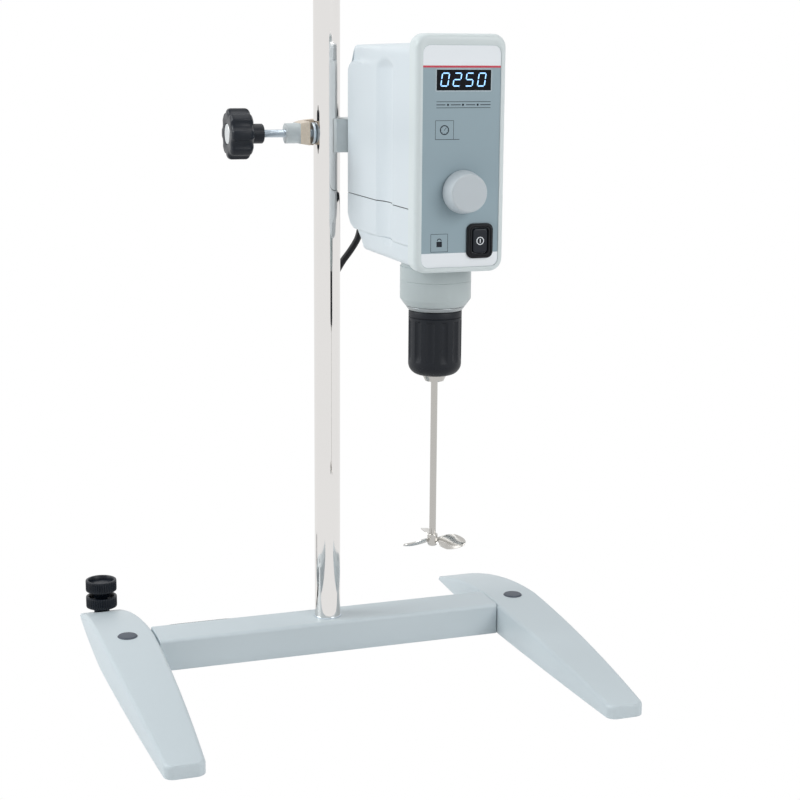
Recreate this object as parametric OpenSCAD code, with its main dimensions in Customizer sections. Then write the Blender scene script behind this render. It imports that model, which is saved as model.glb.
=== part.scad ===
// Overhead laboratory stirrer on an H-stand, in millimetres.
// The object stands on Z = 0, faces -Y and has its origin under the middle of its outline.

/* [Base] */
// Height of the crossbar and of the legs where they meet it
base_h = 35; // [28:1:45]
// Depth of the crossbar, front to back
crossbar_d = 48; // [40:1:60]
// Distance between the centre lines of the two legs
leg_pitch = 428; // [380:2:480]
// Width of a leg at the crossbar
leg_w = 57; // [48:1:66]
// Width of a leg at its front end
leg_front_w = 37; // [30:1:46]
// Width of a leg at its rear end
leg_rear_w = 46; // [40:1:48]
// Reach of the legs in front of the crossbar's centre line
leg_front = 281; // [240:1:320]
// Reach of the legs behind the crossbar's centre line
leg_rear = 176; // [150:1:200]
// Thickness of a leg at its front end
leg_front_h = 14.5; // [11:0.5:18]
// Thickness of a leg at its rear toe
leg_toe_h = 3.5; // [3:0.5:6]
// Radius of the soft upper edges of a leg
leg_edge_r = 4; // [2:0.5:5]
// Diameter of the plugs over the leg bolts
leg_cap_d = 19.4; // [16:0.2:22]
// Height of the rubber feet that show under the legs
foot_h = 1.5; // [1:0.1:2]

/* [Rod] */
// Diameter of the stand rod
rod_d = 27; // [24:0.5:30]
// Wall thickness of the stand rod
rod_wall = 2.5; // [2:0.1:4]
// Length of the stand rod above the crossbar
rod_l = 800; // [700:10:1000]

/* [Levelling screw] */
// Diameter of the two knurled knobs
level_knob_d = 34; // [28:1:36]
// Height of each knurled knob
level_knob_h = 12.5; // [11:0.5:14]
// Diameter of the levelling screw's thread
level_screw_d = 10; // [8:1:12]
// Distance of the levelling screw in front of the leg's rear end
level_inset = 13; // [12:0.5:16]

/* [Clamp] */
// Height of the clamp's axis above the bench
clamp_z = 543; // [480:1:620]
// Distance between the stand rod and the extension arm, side to side
arm_offset = 58; // [54:0.5:64]
// Diameter of the extension arm
arm_d = 16; // [12:0.5:18]
// Length of the extension arm behind the casing
arm_l = 165; // [120:5:180]
// Height of the boss-head casting
clamp_h = 33; // [30:1:38]
// Diameter of the star knobs
star_d = 50; // [44:1:56]
// Thickness of a star knob's rim
star_t = 23; // [20:1:25]
// Diameter of the clamp screws
clamp_screw_d = 8; // [6:1:10]

/* [Drive head] */
// Width of the front bezel
head_w = 86; // [82:1:96]
// Height of the front bezel
head_h = 212; // [205:1:230]
// Depth of the front bezel
bezel_d = 18.5; // [16:0.5:22]
// Depth of the casing behind the bezel
case_d = 185.4; // [182:0.2:200]
// Wall thickness of the casing
case_wall = 3; // [2.5:0.1:3.5]
// Height of the top of the rear casing
case_h = 204; // [200:1:208]
// Height at which the upper and lower covers meet
split_z = 56.5; // [50:0.5:64]
// Height of the extension arm above the casing's underside
arm_up = 114.5; // [108:0.5:125]
// Gap between the casing's back and the stand rod's axis
rod_gap = 17.5; // [17.5:0.1:24]
// Distance of the spindle's axis behind the panel
spindle_back = 60.4; // [56:0.2:66]

/* [Panel] */
// Width of the control overlay
panel_w = 74; // [70:1:75]
// Height of the control overlay
panel_h = 197; // [190:1:198]
// Sideways place of the column of controls
control_x = 2.3; // [0:0.1:4]
// Width of the display window
display_w = 51.6; // [46:0.2:56]
// Height of the display window
display_h = 18; // [15:0.5:20]
// Diameter of the speed knob at its base
knob_d = 39; // [34:0.5:42]
// Diameter of the speed knob's face
knob_face_d = 31.6; // [26:0.2:34]
// Projection of the speed knob in front of the panel
knob_l = 18; // [14:0.5:22]
// Width of the power switch's frame
switch_w = 25.4; // [23:0.2:28]
// Height of the power switch's frame
switch_h = 31.6; // [29:0.2:34]

/* [Neck and chuck] */
// Diameter of the neck
neck_d = 67; // [62:1:70]
// Height of the neck below the casing
neck_h = 38; // [34:1:42]
// Diameter of the chuck's sleeve
sleeve_d = 50.4; // [48:0.2:54]
// Length of the chuck's sleeve
sleeve_l = 62.5; // [58:0.5:68]
// Number of flutes around the chuck's sleeve
flute_count = 12; // [8:1:16]
// Angle of the jaws to the spindle's axis
jaw_tilt = 18; // [16:0.5:20]
// Diameter of a jaw
jaw_d = 6.5; // [6:0.1:7]
// Opening travel of a jaw along its channel
jaw_travel = 5.5; // [4:0.1:5.5]

/* [Drive] */
// Diameter of the spindle
spindle_d = 12; // [10:0.5:14]
// Gap between the motor and the drive frame's rear wall
motor_gap = 6; // [4:0.5:10]
// Diameter of the spindle's pulley
big_pulley_d = 60; // [54:0.5:62]
// Diameter of the motor's pulley
small_pulley_d = 20; // [18:0.5:22]
// Diameter of the motor
motor_d = 58; // [50:1:60]
// Gap between the top of the motor and the top of the spindle's column
motor_drop = 14; // [12:0.5:20]

/* [Stirring tool] */
// Diameter of the stirring shaft
shaft_d = 6.4; // [6:0.1:7]
// Length of the stirring shaft below the chuck's nose
shaft_free_l = 162; // [120:1:180]
// Diameter swept by the propeller
propeller_d = 68; // [50:1:74]
// Width of a propeller blade
blade_w = 20; // [14:0.5:22]
// Thickness of a propeller blade
blade_t = 1.2; // [1:0.1:2]
// Pitch of a blade at its tip
blade_pitch = 22; // [15:1:35]

/* [Cord] */
// Diameter of the mains cord
cord_d = 7; // [6:0.2:8]

/* [Hidden] */

paint = [0.81, 0.85, 0.87];
casing = [0.84, 0.87, 0.89];
black = [0.10, 0.11, 0.12];
steel = [0.72, 0.73, 0.75];

// Clearances: a pressed or resting pair touches, a running pair turns or slides freely,
// and a free pair never meets.
run_gap = 0.05;
free_gap = 0.3;
tiny = 0.01;

// Places of the main assemblies
level_reach = leg_rear - level_inset + level_knob_d / 2;
base_reach = max(leg_rear, level_reach);
rod_y = (leg_front - base_reach) / 2;
leg_x = leg_pitch / 2;
head_z = clamp_z - arm_up;
case_back = case_d + bezel_d - spindle_back;
head_y = rod_y - rod_gap - case_back;
panel_y = -spindle_back;
seam_y = panel_y + bezel_d;

// ---------- Shared shapes ----------

// Points of an arc about (cx, cy)
function arc(cx, cy, r, a0, a1, n = 6) =
    [for (i = [0 : n]) let (a = a0 + (a1 - a0) * i / n) [cx + r * cos(a), cy + r * sin(a)]];

// Outline of a rectangle with its own radius for the upper and the lower corners, centred on (0, 0)
function round_rect(w, h, top_r, low_r, n = 6) = concat(
    arc(w / 2 - low_r, low_r - h / 2, low_r, -90, 0, n),
    arc(w / 2 - top_r, h / 2 - top_r, top_r, 0, 90, n),
    arc(top_r - w / 2, h / 2 - top_r, top_r, 90, 180, n),
    arc(low_r - w / 2, low_r - h / 2, low_r, 180, 270, n));

// Solid through a list of closed rings that have as many points each
module loft(rings) {
    n = len(rings[0]);
    last = len(rings) - 1;
    walls = [for (k = [0 : last - 1], i = [0 : n - 1])
        [k * n + i, k * n + (i + 1) % n, (k + 1) * n + (i + 1) % n, (k + 1) * n + i]];
    start = [[for (i = [n - 1 : -1 : 0]) i]];
    end = [[for (i = [0 : n - 1]) last * n + i]];
    polyhedron([for (ring = rings) each ring], concat(start, walls, end), convexity = 6);
}

// Upright plate whose outline is drawn in X and Z, from y0 to y0 + depth
module plate_xz(outline, y0, depth)
    translate([0, y0 + depth, 0]) rotate([90, 0, 0]) linear_extrude(depth) polygon(outline);

// Upright plate whose outline is drawn in Y and Z, from x0 to x0 + width
module plate_yz(outline, x0, width)
    translate([x0, 0, 0]) rotate([90, 0, 90]) linear_extrude(width) polygon(outline);

// Cylinders along X and Y, from the given start
module bar_x(x0, l, d) translate([x0, 0, 0]) rotate([0, 90, 0]) cylinder(h = l, d = d, $fn = 48);
module bar_y(y0, l, d) translate([0, y0 + l, 0]) rotate([90, 0, 0]) cylinder(h = l, d = d, $fn = 48);
module bar_z(z0, l, d) translate([0, 0, z0]) cylinder(h = l, d = d, $fn = 48);

module at_rod() translate([0, rod_y, 0]) children();
module at_clamp() translate([0, rod_y, clamp_z]) children();
module at_head() translate([arm_offset, head_y, head_z]) children();

// ---------- Stand ----------

leg_corner_r = 8;
shoulder_gap = 0.4;
tenon_end = 14;
tenon_w = 30;
tenon_h = 14;
tenon_z = 12;
leg_bolt_d = 8;
leg_bolt_head_d = 13;
leg_bolt_head_h = 5.5;
leg_bolt_seat_z = 8;
leg_cap_t = 3;
cap_seat_z = base_h - leg_cap_t;
foot_d = 18;
foot_pocket = 2.5;
foot_front_y = 24 - leg_front;
foot_rear_y = leg_rear - 55;
spot_face_d = 19;
spot_face_z = 6.5;
level_y = leg_rear - level_inset;
rod_bolt_d = 10;
rod_bolt_head_d = 16;
rod_bolt_head_h = 8;
washer_d = 21;
washer_t = 2;
rod_bolt_seat_z = 14;
rod_plug_h = 25;
end_cap_t = 3;

// Half the width of a leg at y, before its end corners are rounded
function leg_side(y) = y < 0
    ? leg_w / 2 - (leg_w - leg_front_w) / 2 * (0.5 * (-y / leg_front) + 0.5 * pow(y / leg_front, 2))
    : leg_w / 2 - (leg_w - leg_rear_w) / 2 * (0.3 * (y / leg_rear) + 0.7 * pow(y / leg_rear, 2));

// How much a rounded corner takes off at distance d from the end
function corner_cut(d, r) = d >= r ? 0 : r - sqrt(r * r - (r - d) * (r - d));
function leg_half_w(y) =
    leg_side(y) - corner_cut(y + leg_front, leg_corner_r) - corner_cut(leg_rear - y, leg_corner_r);

// Height of a leg's back along y: a long arch in front, a steeper one behind
function leg_top(y) = y < 0
    ? base_h - (base_h - leg_front_h) * (0.25 * (-y / leg_front) + 0.75 * pow(y / leg_front, 2))
    : base_h - (base_h - leg_toe_h) * (0.13 * (y / leg_rear) + 0.87 * pow(y / leg_rear, 2));

// Section of a leg or of the crossbar: flat below, soft edges above
function bar_section(half_w, h, r) = concat([[-half_w, foot_h], [half_w, foot_h]],
    arc(half_w - r, h - r, r, 0, 90, 4), arc(r - half_w, h - r, r, 90, 180, 4));

function leg_ring(y) =
    let (h = leg_top(y), r = min(leg_edge_r, (h - foot_h) * 0.6))
    [for (p = bar_section(leg_half_w(y), h, r)) [p[0], y, p[1]]];

leg_stations = concat(
    [for (a = [90 : -22.5 : 0]) -leg_front + leg_corner_r * (1 - sin(a))],
    [for (i = [1 : 13]) -leg_front + leg_corner_r + (leg_front - leg_corner_r) * i / 13],
    [for (i = [1 : 11]) (leg_rear - leg_corner_r) * i / 12],
    [for (a = [0 : 22.5 : 90]) leg_rear - leg_corner_r * (1 - sin(a))]);

// A leg whose crossbar side is +X
module leg(screw) {
    difference() {
        loft([for (y = leg_stations) leg_ring(y)]);
        // Pocket for the crossbar's tenon
        translate([-tenon_end, -tenon_w / 2, tenon_z]) cube([leg_w + tenon_end, tenon_w, tenon_h]);
        // Bolt from below, and the seat of the plug that hides its end
        bar_z(0, leg_bolt_seat_z, leg_bolt_head_d + 1);
        bar_z(leg_bolt_seat_z - tiny, cap_seat_z, leg_bolt_d);
        bar_z(cap_seat_z, leg_cap_t + 1, leg_cap_d);
        for (y = screw ? [foot_front_y] : [foot_front_y, foot_rear_y])
            translate([0, y, 0]) bar_z(0, foot_h + foot_pocket, foot_d);
        if (screw) translate([0, level_y, 0]) {
            bar_z(0, leg_front_h, level_screw_d + 2 * run_gap);
            bar_z(spot_face_z, base_h, spot_face_d);
        }
    }
}

module left_leg() color(paint) at_rod() translate([-leg_x, 0, 0]) leg(true);
module right_leg() color(paint) at_rod() translate([leg_x, 0, 0]) mirror([1, 0, 0]) leg(false);

module crossbar() color(paint) at_rod() {
    half = leg_x - leg_w / 2 - shoulder_gap;
    reach = leg_x + tenon_end - shoulder_gap;
    difference() {
        union() {
            plate_yz(bar_section(crossbar_d / 2, base_h, leg_edge_r), -half, 2 * half);
            translate([-reach, -tenon_w / 2, tenon_z]) cube([2 * reach, tenon_w, tenon_h]);
        }
        for (x = [-leg_x, leg_x]) translate([x, 0, 0]) bar_z(0, base_h, leg_bolt_d);
        bar_z(0, rod_bolt_seat_z, washer_d + 1);
        bar_z(0, base_h + 1, rod_bolt_d);
    }
}

module leg_bolts() color(steel) at_rod() for (x = [-leg_x, leg_x]) translate([x, 0, 0]) difference() {
    union() {
        bar_z(leg_bolt_seat_z - leg_bolt_head_h, leg_bolt_head_h, leg_bolt_head_d);
        bar_z(leg_bolt_seat_z - tiny, cap_seat_z - 1 - leg_bolt_seat_z, leg_bolt_d);
    }
    cylinder(h = leg_bolt_seat_z - 2, d = 7, $fn = 6);
}

module leg_cap_plugs() color(black) at_rod()
    for (x = [-leg_x, leg_x]) translate([x, 0, 0]) bar_z(cap_seat_z, leg_cap_t, leg_cap_d);

module stand_rod() color(steel) at_rod() difference() {
    bar_z(base_h, rod_l - end_cap_t, rod_d);
    bar_z(base_h + rod_plug_h, rod_l, rod_d - 2 * rod_wall);
    bar_z(base_h - 1, rod_plug_h - 4, rod_bolt_d);
}

module rod_end_cap() color(black) at_rod() {
    top_z = base_h + rod_l - end_cap_t;
    translate([0, 0, top_z]) rotate_extrude($fn = 48)
        polygon([[0, 0], [rod_d / 2, 0], [rod_d / 2, end_cap_t - 1], [rod_d / 2 - 1, end_cap_t],
            [0, end_cap_t]]);
    bar_z(top_z - 15, 15 + tiny, rod_d - 2 * rod_wall);
}

module rod_bolt() color(steel) at_rod() difference() {
    union() {
        bar_z(rod_bolt_seat_z - washer_t, washer_t, washer_d);
        bar_z(rod_bolt_seat_z - washer_t - rod_bolt_head_h, rod_bolt_head_h + tiny, rod_bolt_head_d);
        bar_z(rod_bolt_seat_z - tiny, base_h + rod_plug_h - 8 - rod_bolt_seat_z, rod_bolt_d);
    }
    cylinder(h = rod_bolt_seat_z - washer_t - 3, d = 9, $fn = 6);
}

module rubber_feet() color(black) at_rod() {
    for (p = [[-leg_x, foot_front_y], [leg_x, foot_front_y], [leg_x, foot_rear_y]])
        translate([p[0], p[1], 0]) bar_z(0, foot_h + foot_pocket, foot_d);
}

// ---------- Levelling screw ----------

level_foot_h = 4;
level_spigot_d = 6;
level_neck_d = 17;
lock_knob_z = 14;
level_gap = 6.2;
cup_d = level_knob_d - 8;
cup_depth = 3;
head_knob_z = lock_knob_z + level_knob_h + level_gap;
knurl_count = 36;
knurl_depth = 0.7;

module at_level() translate([-leg_x, rod_y + level_y, 0]) children();

// Knurled knob with chamfered rims
module knurled_knob(z0) translate([0, 0, z0]) intersection() {
    linear_extrude(level_knob_h) polygon([for (i = [0 : 2 * knurl_count - 1])
        let (r = level_knob_d / 2 - (i % 2) * knurl_depth, a = i * 180 / knurl_count)
        [r * cos(a), r * sin(a)]]);
    rotate_extrude($fn = 64) polygon([[0, 0], [level_knob_d / 2 - 1.2, 0], [level_knob_d / 2, 1.2],
        [level_knob_d / 2, level_knob_h - 1.2], [level_knob_d / 2 - 1.2, level_knob_h], [0, level_knob_h]]);
}

module levelling_foot() color(black) at_level() difference() {
    bar_z(0, level_foot_h, level_screw_d);
    bar_z(1.5, level_foot_h, level_spigot_d + 2 * run_gap);
}

module levelling_lock_nut() color(black) at_level() difference() {
    union() {
        bar_z(spot_face_z + 0.1, lock_knob_z - spot_face_z, level_neck_d);
        knurled_knob(lock_knob_z);
    }
    bar_z(0, base_h * 2, level_screw_d + 2 * run_gap);
    bar_z(lock_knob_z + level_knob_h - cup_depth, cup_depth + 1, cup_d);
}

module levelling_screw() color(black) at_level() difference() {
    union() {
        bar_z(2, level_foot_h, level_spigot_d);
        bar_z(level_foot_h + free_gap, head_knob_z - level_foot_h, level_screw_d);
        bar_z(lock_knob_z + level_knob_h - 2, level_gap + 2 + tiny, level_neck_d);
        knurled_knob(head_knob_z);
    }
    bar_z(head_knob_z + level_knob_h - cup_depth, cup_depth + 1, cup_d);
}

// ---------- Clamp ----------

// Places along a clamp screw, counted outwards from the surface that it presses on
pad_t = 2.5;
pad_gap = free_gap;
wall_in = 6.5;
wall_out = 16.5;
boss_out = 29.8;
boss_d = 20;
hub_in = 52.7;
hub_out = 66.2;
hub_d = 19.5;
star_out = hub_out + star_t;
star_cap_d = 20;
star_cap_t = 2.4;
star_lobes = 8;
pad_spigot_d = 5;
clamp_front = 16.5;
clamp_back = 26;
clamp_low = -clamp_h / 2 - 2;
clamp_top = clamp_h / 2 - 2;

module rod_side() at_clamp() translate([-rod_d / 2, 0, 0]) mirror([1, 0, 0]) children();
module arm_side() at_clamp() translate([arm_offset + arm_d / 2, 0, 0]) children();

// Hook that lies round the stand rod, seen from above: its right side is a V with flanks at 30 degrees
v_cos = cos(60);
v_sin = sin(60);
v_tip_x = 2.8;
v_end_x = rod_d / 2 + 3.5;
function v_y(x) = (rod_d / 2 - x * v_cos) / v_sin;
hook_in_x = -rod_d / 2 - wall_in;
hook_out_x = -rod_d / 2 - wall_out;
hook_back = rod_d / 2 + 1;
hook_plan = [[v_tip_x, -v_y(v_tip_x)], [v_tip_x + 2.6, -clamp_front], [arm_offset - 10, -clamp_front],
    [arm_offset - 10, clamp_back], [hook_out_x + 8, clamp_back], [hook_out_x, clamp_back - 8],
    [hook_out_x, -boss_d / 2], [hook_in_x, -boss_d / 2], [hook_in_x, hook_back],
    [(rod_d / 2 - hook_back * v_sin) / v_cos, hook_back], [v_end_x, v_y(v_end_x)], [v_end_x, -v_y(v_end_x)]];
hook_side = [[hook_out_x, -10], [-15, -12.5], [0, -14], [1.5, clamp_low], [arm_offset, clamp_low],
    [arm_offset, clamp_top], [1.5, clamp_top], [0, 13.5], [-15, 12.5], [hook_out_x, 10]];

// Saddle round the extension arm, seen from the front: a V on its left, a wall on its right
arm_r = arm_d / 2;
v_apex = arm_r * sqrt(2);
saddle_floor = -arm_r - 1.5;
saddle = [[-15, clamp_top], [-4, clamp_top], [-2.5, v_apex - 2.5], [2 - v_apex, 2], [2 - v_apex, -2],
    [-v_apex - saddle_floor, saddle_floor], [arm_r + wall_in, saddle_floor], [arm_r + wall_in, boss_d / 2],
    [arm_r + wall_out, boss_d / 2], [arm_r + wall_out, clamp_low + 6], [arm_r + wall_out - 5, clamp_low],
    [-15, clamp_low]];

module clamp_body() color(paint) {
    difference() {
        union() {
            at_clamp() intersection() {
                translate([0, 0, 2 * clamp_low]) linear_extrude(4 * clamp_h) polygon(hook_plan);
                plate_xz(hook_side, -2 * clamp_back, 4 * clamp_back);
            }
            at_clamp() translate([arm_offset, 0, 0]) plate_xz(saddle, -clamp_front, clamp_front + clamp_back);
            rod_side() bar_x(wall_out - 1, boss_out - wall_out + 1, boss_d);
            arm_side() bar_x(wall_out - 1, boss_out - wall_out + 1, boss_d);
        }
        rod_side() bar_x(wall_in - 1, boss_out, clamp_screw_d + 2 * run_gap);
        arm_side() bar_x(wall_in - 1, boss_out, clamp_screw_d + 2 * run_gap);
    }
}

module clamp_pad(d) difference() {
    bar_x(pad_gap, pad_t, d);
    bar_x(pad_gap + 1, pad_t, pad_spigot_d + 2 * run_gap);
}

module clamp_screw() {
    bar_x(pad_gap + 1.2, 3, pad_spigot_d);
    bar_x(pad_gap + pad_t + 0.4, star_out - star_cap_t - 3 - pad_t, clamp_screw_d);
}

module star_knob() difference() {
    union() {
        bar_x(hub_in, hub_out - hub_in + tiny, hub_d);
        translate([hub_out, 0, 0]) rotate([0, 90, 0]) intersection() {
            linear_extrude(star_t) difference() {
                circle(d = star_d, $fn = 72);
                for (i = [0 : star_lobes - 1]) rotate((i + 0.5) * 360 / star_lobes)
                    translate([star_d / 2 + 4.5, 0]) circle(r = 7.5, $fn = 32);
            }
            rotate_extrude($fn = 72) polygon([[0, 0], [star_d / 2 - 4, 0], [star_d / 2, 4],
                [star_d / 2, star_t - 4], [star_d / 2 - 1.5, star_t - 1.5], [star_d / 2 - 5, star_t],
                [0, star_t]]);
        }
    }
    bar_x(hub_in - 1, star_out - star_cap_t - 1 - hub_in, clamp_screw_d);
    bar_x(star_out - star_cap_t, star_cap_t + 1, star_cap_d);
}

module star_cap() bar_x(star_out - star_cap_t, star_cap_t + 0.4, star_cap_d);

module rod_clamp_pad() color(steel) rod_side() clamp_pad(21);
module rod_clamp_screw() color(steel) rod_side() clamp_screw();
module rod_clamp_knob() color(black) rod_side() star_knob();
module rod_clamp_cap() color(steel) rod_side() star_cap();
module arm_clamp_pad() color(steel) arm_side() clamp_pad(arm_d);
module arm_clamp_screw() color(steel) arm_side() clamp_screw();
module arm_clamp_knob() color(black) arm_side() star_knob();
module arm_clamp_cap() color(steel) arm_side() star_cap();

// ---------- Places inside the drive head ----------

floor_z = 28;
floor_t = 8;
post_xy = [31, -31];
board_z = case_h - 30;
board_t = 1.6;
column_d = 42;
column_top = board_z - 28;
column_low = 1 - neck_h;
bearing_d = 32;
bearing_w = 10;
pulley_z = column_top + 2;
pulley_w = 13;
belt_w = 8;
belt_t = 1.8;
belt_gap = 0.4;
frame_half_w = 32;
back_front_y = case_back - 26.5;
back_rear_y = case_back - 12.5;
belt_centres = back_front_y - motor_gap - motor_d / 2;
cover_screw_x = 27;
cover_screw_z = [50, case_h - 44];
cover_screw_d = 3.6;
gland_z = 47;
gland_d = 12;
socket_d = 28;

module extension_arm() color(steel) at_head() translate([0, 0, arm_up]) {
    bar_y(back_front_y, case_back + arm_l - 1.5 - back_front_y, arm_d);
    translate([0, case_back + arm_l - 1.5, 0]) rotate([-90, 0, 0])
        cylinder(h = 1.5, d1 = arm_d, d2 = arm_d - 3, $fn = 48);
}

// ---------- Panel ----------

bezel_corner_r = 12;
bezel_edge_r = 5;
overlay_set_back = 0.8;
overlay_t = 0.6;
plate_t = 3;
plate_front = panel_y + overlay_set_back + overlay_t;
plate_back = plate_front + plate_t;
overlay_x = 0.5;
overlay_z = 103.5;
display_z = 171.6;
window_t = 2.1;
module_depth = 4;
board_y = plate_back + module_depth;
board_h = 104;
control_board_z = case_h - 8 - board_h;
knob_z = 73;
bushing_d = 9;
encoder_shaft_d = 6;
knob_seat = panel_y + overlay_set_back - 0.6;
knob_bore_l = 12.3;
switch_x = control_x + 17.2;
switch_z = 28.5;
switch_body_w = switch_w - 4;
switch_body_h = switch_h - 4;
button_w = switch_w - 11.2;
button_h = switch_h - 9.4;
button_gap = 0.4;
button_travel = 2;
switch_front = panel_y + overlay_set_back - 3;
button_front = switch_front + 0.6;
button_t = 4.4;
stem_w = 8;

// Plate with the given outline size, centred on (x, z), from y0 to y0 + depth
module panel_block(x, z, w, h, y0, depth) translate([x - w / 2, y0, z - h / 2]) cube([w, depth, h]);

module front_bezel() color(casing) at_head() difference() {
    union() {
        difference() {
            loft([for (a = [0, 22.5, 45, 67.5, 90, 180])
                let (cut = a > 90 ? 0 : bezel_edge_r * (1 - sin(a)),
                    y = a > 90 ? seam_y : panel_y + bezel_edge_r * (1 - cos(a)))
                [for (p = round_rect(head_w - 2 * cut, head_h - 2 * cut, bezel_corner_r - cut,
                    bezel_corner_r - cut)) [p[0], y, p[1] + head_h / 2]]]);
            translate([-head_w / 2 + 3.5, plate_back, 4]) cube([head_w - 7, bezel_d, case_h - 7.5]);
        }
        for (x = [-30, 30], z = [4, board_h - 4]) translate([x, 0, control_board_z + z])
            bar_y(plate_back - tiny, module_depth + tiny, 6);
    }
    plate_xz([for (p = round_rect(panel_w, panel_h, 7, 7)) p + [overlay_x, overlay_z]],
        panel_y - 1, 1 + overlay_set_back + overlay_t);
    panel_block(control_x, display_z, display_w, display_h, plate_front - 1, 2.5);
    panel_block(control_x, display_z, display_w - 4, display_h - 4, plate_front - 1, plate_t + 2);
    translate([control_x, 0, knob_z]) bar_y(plate_front - 1, plate_t + 2, bushing_d);
    panel_block(switch_x, switch_z, switch_body_w, switch_body_h, plate_front - 1, plate_t + 2);
}

module control_overlay() color([0.53, 0.60, 0.64]) at_head() difference() {
    plate_xz([for (p = round_rect(panel_w, panel_h, 7, 7)) p + [overlay_x, overlay_z]],
        panel_y + overlay_set_back, overlay_t);
    panel_block(control_x, display_z, display_w, display_h, panel_y, 3);
    translate([control_x, 0, knob_z]) bar_y(panel_y, 3, bushing_d);
    panel_block(switch_x, switch_z, switch_body_w, switch_body_h, panel_y, 3);
}

module display_window() color([0.04, 0.05, 0.10]) at_head()
    panel_block(control_x, display_z, display_w, display_h, panel_y + overlay_set_back, window_t);

module display_module() color([0.15, 0.16, 0.18]) at_head()
    panel_block(control_x, display_z, display_w + 6, display_h + 8, plate_back, module_depth);

module control_board() color([0.05, 0.35, 0.20]) at_head() translate([0, 0, control_board_z]) {
    rear = board_y + board_t - tiny;
    translate([-34, board_y, 0]) cube([68, board_t, board_h]);
    for (p = [[-14, 36, 14, 14, 2], [12, 42, 10, 8, 2], [-24, 8, 20, 6, 8], [10, 10, 18, 8, 6],
        [14, 68, 8, 14, 3]])
        translate([p[0], rear, p[1]]) cube([p[2], p[4], p[3]]);
    for (x = [-22, -12]) translate([x, 0, 66]) bar_y(rear, 7, 8);
}

module speed_encoder() color([0.30, 0.31, 0.32]) at_head() translate([control_x, 0, knob_z]) difference() {
    union() {
        translate([-8, plate_back, -8]) cube([16, 9, 16]);
        bar_y(panel_y - 1.5, plate_back - panel_y + 2, bushing_d);
    }
    bar_y(panel_y - 2, 13, encoder_shaft_d + 2 * run_gap);
}

module encoder_shaft() color(steel) at_head() translate([control_x, 0, knob_z])
    bar_y(knob_seat - knob_bore_l + free_gap, plate_back + 3 - knob_seat + knob_bore_l - free_gap,
        encoder_shaft_d);

// Hand knob: a short rim, a tapered side and a soft front edge, hollow behind round the bushing
module speed_knob() color([0.72, 0.75, 0.77]) at_head()
    translate([control_x, knob_seat, knob_z]) rotate([90, 0, 0]) difference() {
        l = knob_l - 0.6;
        base_r = knob_d / 2;
        face_r = knob_face_d / 2;
        rotate_extrude($fn = 72) polygon(concat([[0, 0], [base_r - 0.5, 0], [base_r, 0.5], [base_r, 2]],
            arc(face_r - 0.6, l - 2.2, 2.2, 25, 90, 4), [[0, l]]));
        bar_z(-1, 5, bushing_d + 3);
        bar_z(-1, knob_bore_l + 1, encoder_shaft_d);
    }

// Outline of a piece of the switch, grown by g
function switch_outline(w, h, r, g) = [for (p = round_rect(w + 2 * g, h + 2 * g, r + g, r + g))
    p + [switch_x, switch_z]];

module switch_frame() color(black) at_head() difference() {
    union() {
        plate_xz(switch_outline(switch_w, switch_h, 6, 0), switch_front + 1, 2);
        plate_xz(switch_outline(switch_w, switch_h, 6, -1), switch_front, 1 + tiny);
    }
    plate_xz(switch_outline(button_w, button_h, 3, button_gap), switch_front - 1, 5);
}

module switch_body() color(black) at_head() difference() {
    panel_block(switch_x, switch_z, switch_body_w, switch_body_h, switch_front + 3, 20);
    panel_block(switch_x, switch_z, button_w + 2 * button_gap, button_h + 2 * button_gap,
        switch_front + 2, button_front + button_t + button_travel + button_gap - switch_front - 2);
    panel_block(switch_x, switch_z, stem_w + 2 * button_gap, stem_w + 2 * button_gap, switch_front + 2, 15);
}

module switch_button() color(black) at_head() {
    plate_xz(switch_outline(button_w, button_h, 3, 0), button_front, button_t);
    panel_block(switch_x, switch_z, stem_w, stem_w, button_front + button_t - tiny, 8);
}

// ---------- Covers ----------

case_w = head_w - 2;
case_low = 3;
tray_h = 22;
tray_inset = 3;
case_top_drop = 2.6;
shoulder_z = case_h - 31;
shoulder_r = 13;
heel_r = 21;
groove_depth = 5;
groove_w = 47;
groove_y = 28.5;
groove_z0 = 18;
groove_run = 8;
groove_z1 = case_h - 22;
vent_count = 6;

// Side view of the casing, whose front end is at y0
function case_side(y0) = concat(
    [[y0, case_low], [case_back - 43, case_low], [case_back - 40.5, case_low + 2.5],
        [case_back - 25.5, tray_h - 1], [case_back - 25, tray_h]],
    arc(case_back - heel_r, tray_h + heel_r, heel_r, -90, 0, 8),
    arc(case_back - shoulder_r, shoulder_z, shoulder_r, 0, 90, 6),
    [[case_back - shoulder_r, case_h - case_top_drop], [y0, case_h]]);

// Solid of the casing, drawn in by t on every side and open in front where t is a wall
module case_solid(t) intersection() {
    translate([-case_w, 0, 0]) rotate([90, 0, 90]) linear_extrude(2 * case_w)
        offset(delta = -t) polygon(case_side(t > 0 ? seam_y - 3 * t : seam_y));
    union() {
        plate_xz([for (p = round_rect(case_w - 2 * t, case_h - tray_h, 11 - t, 4)) p +
            [0, (case_h + tray_h) / 2]], seam_y - t, 2 * case_d);
        plate_xz([for (p = round_rect(case_w - 2 * tray_inset - 2 * t, case_h - 40, 11, 6))
            p + [0, (case_h - 40) / 2 + case_low + t]], seam_y - t, 2 * case_d);
    }
}

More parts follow.
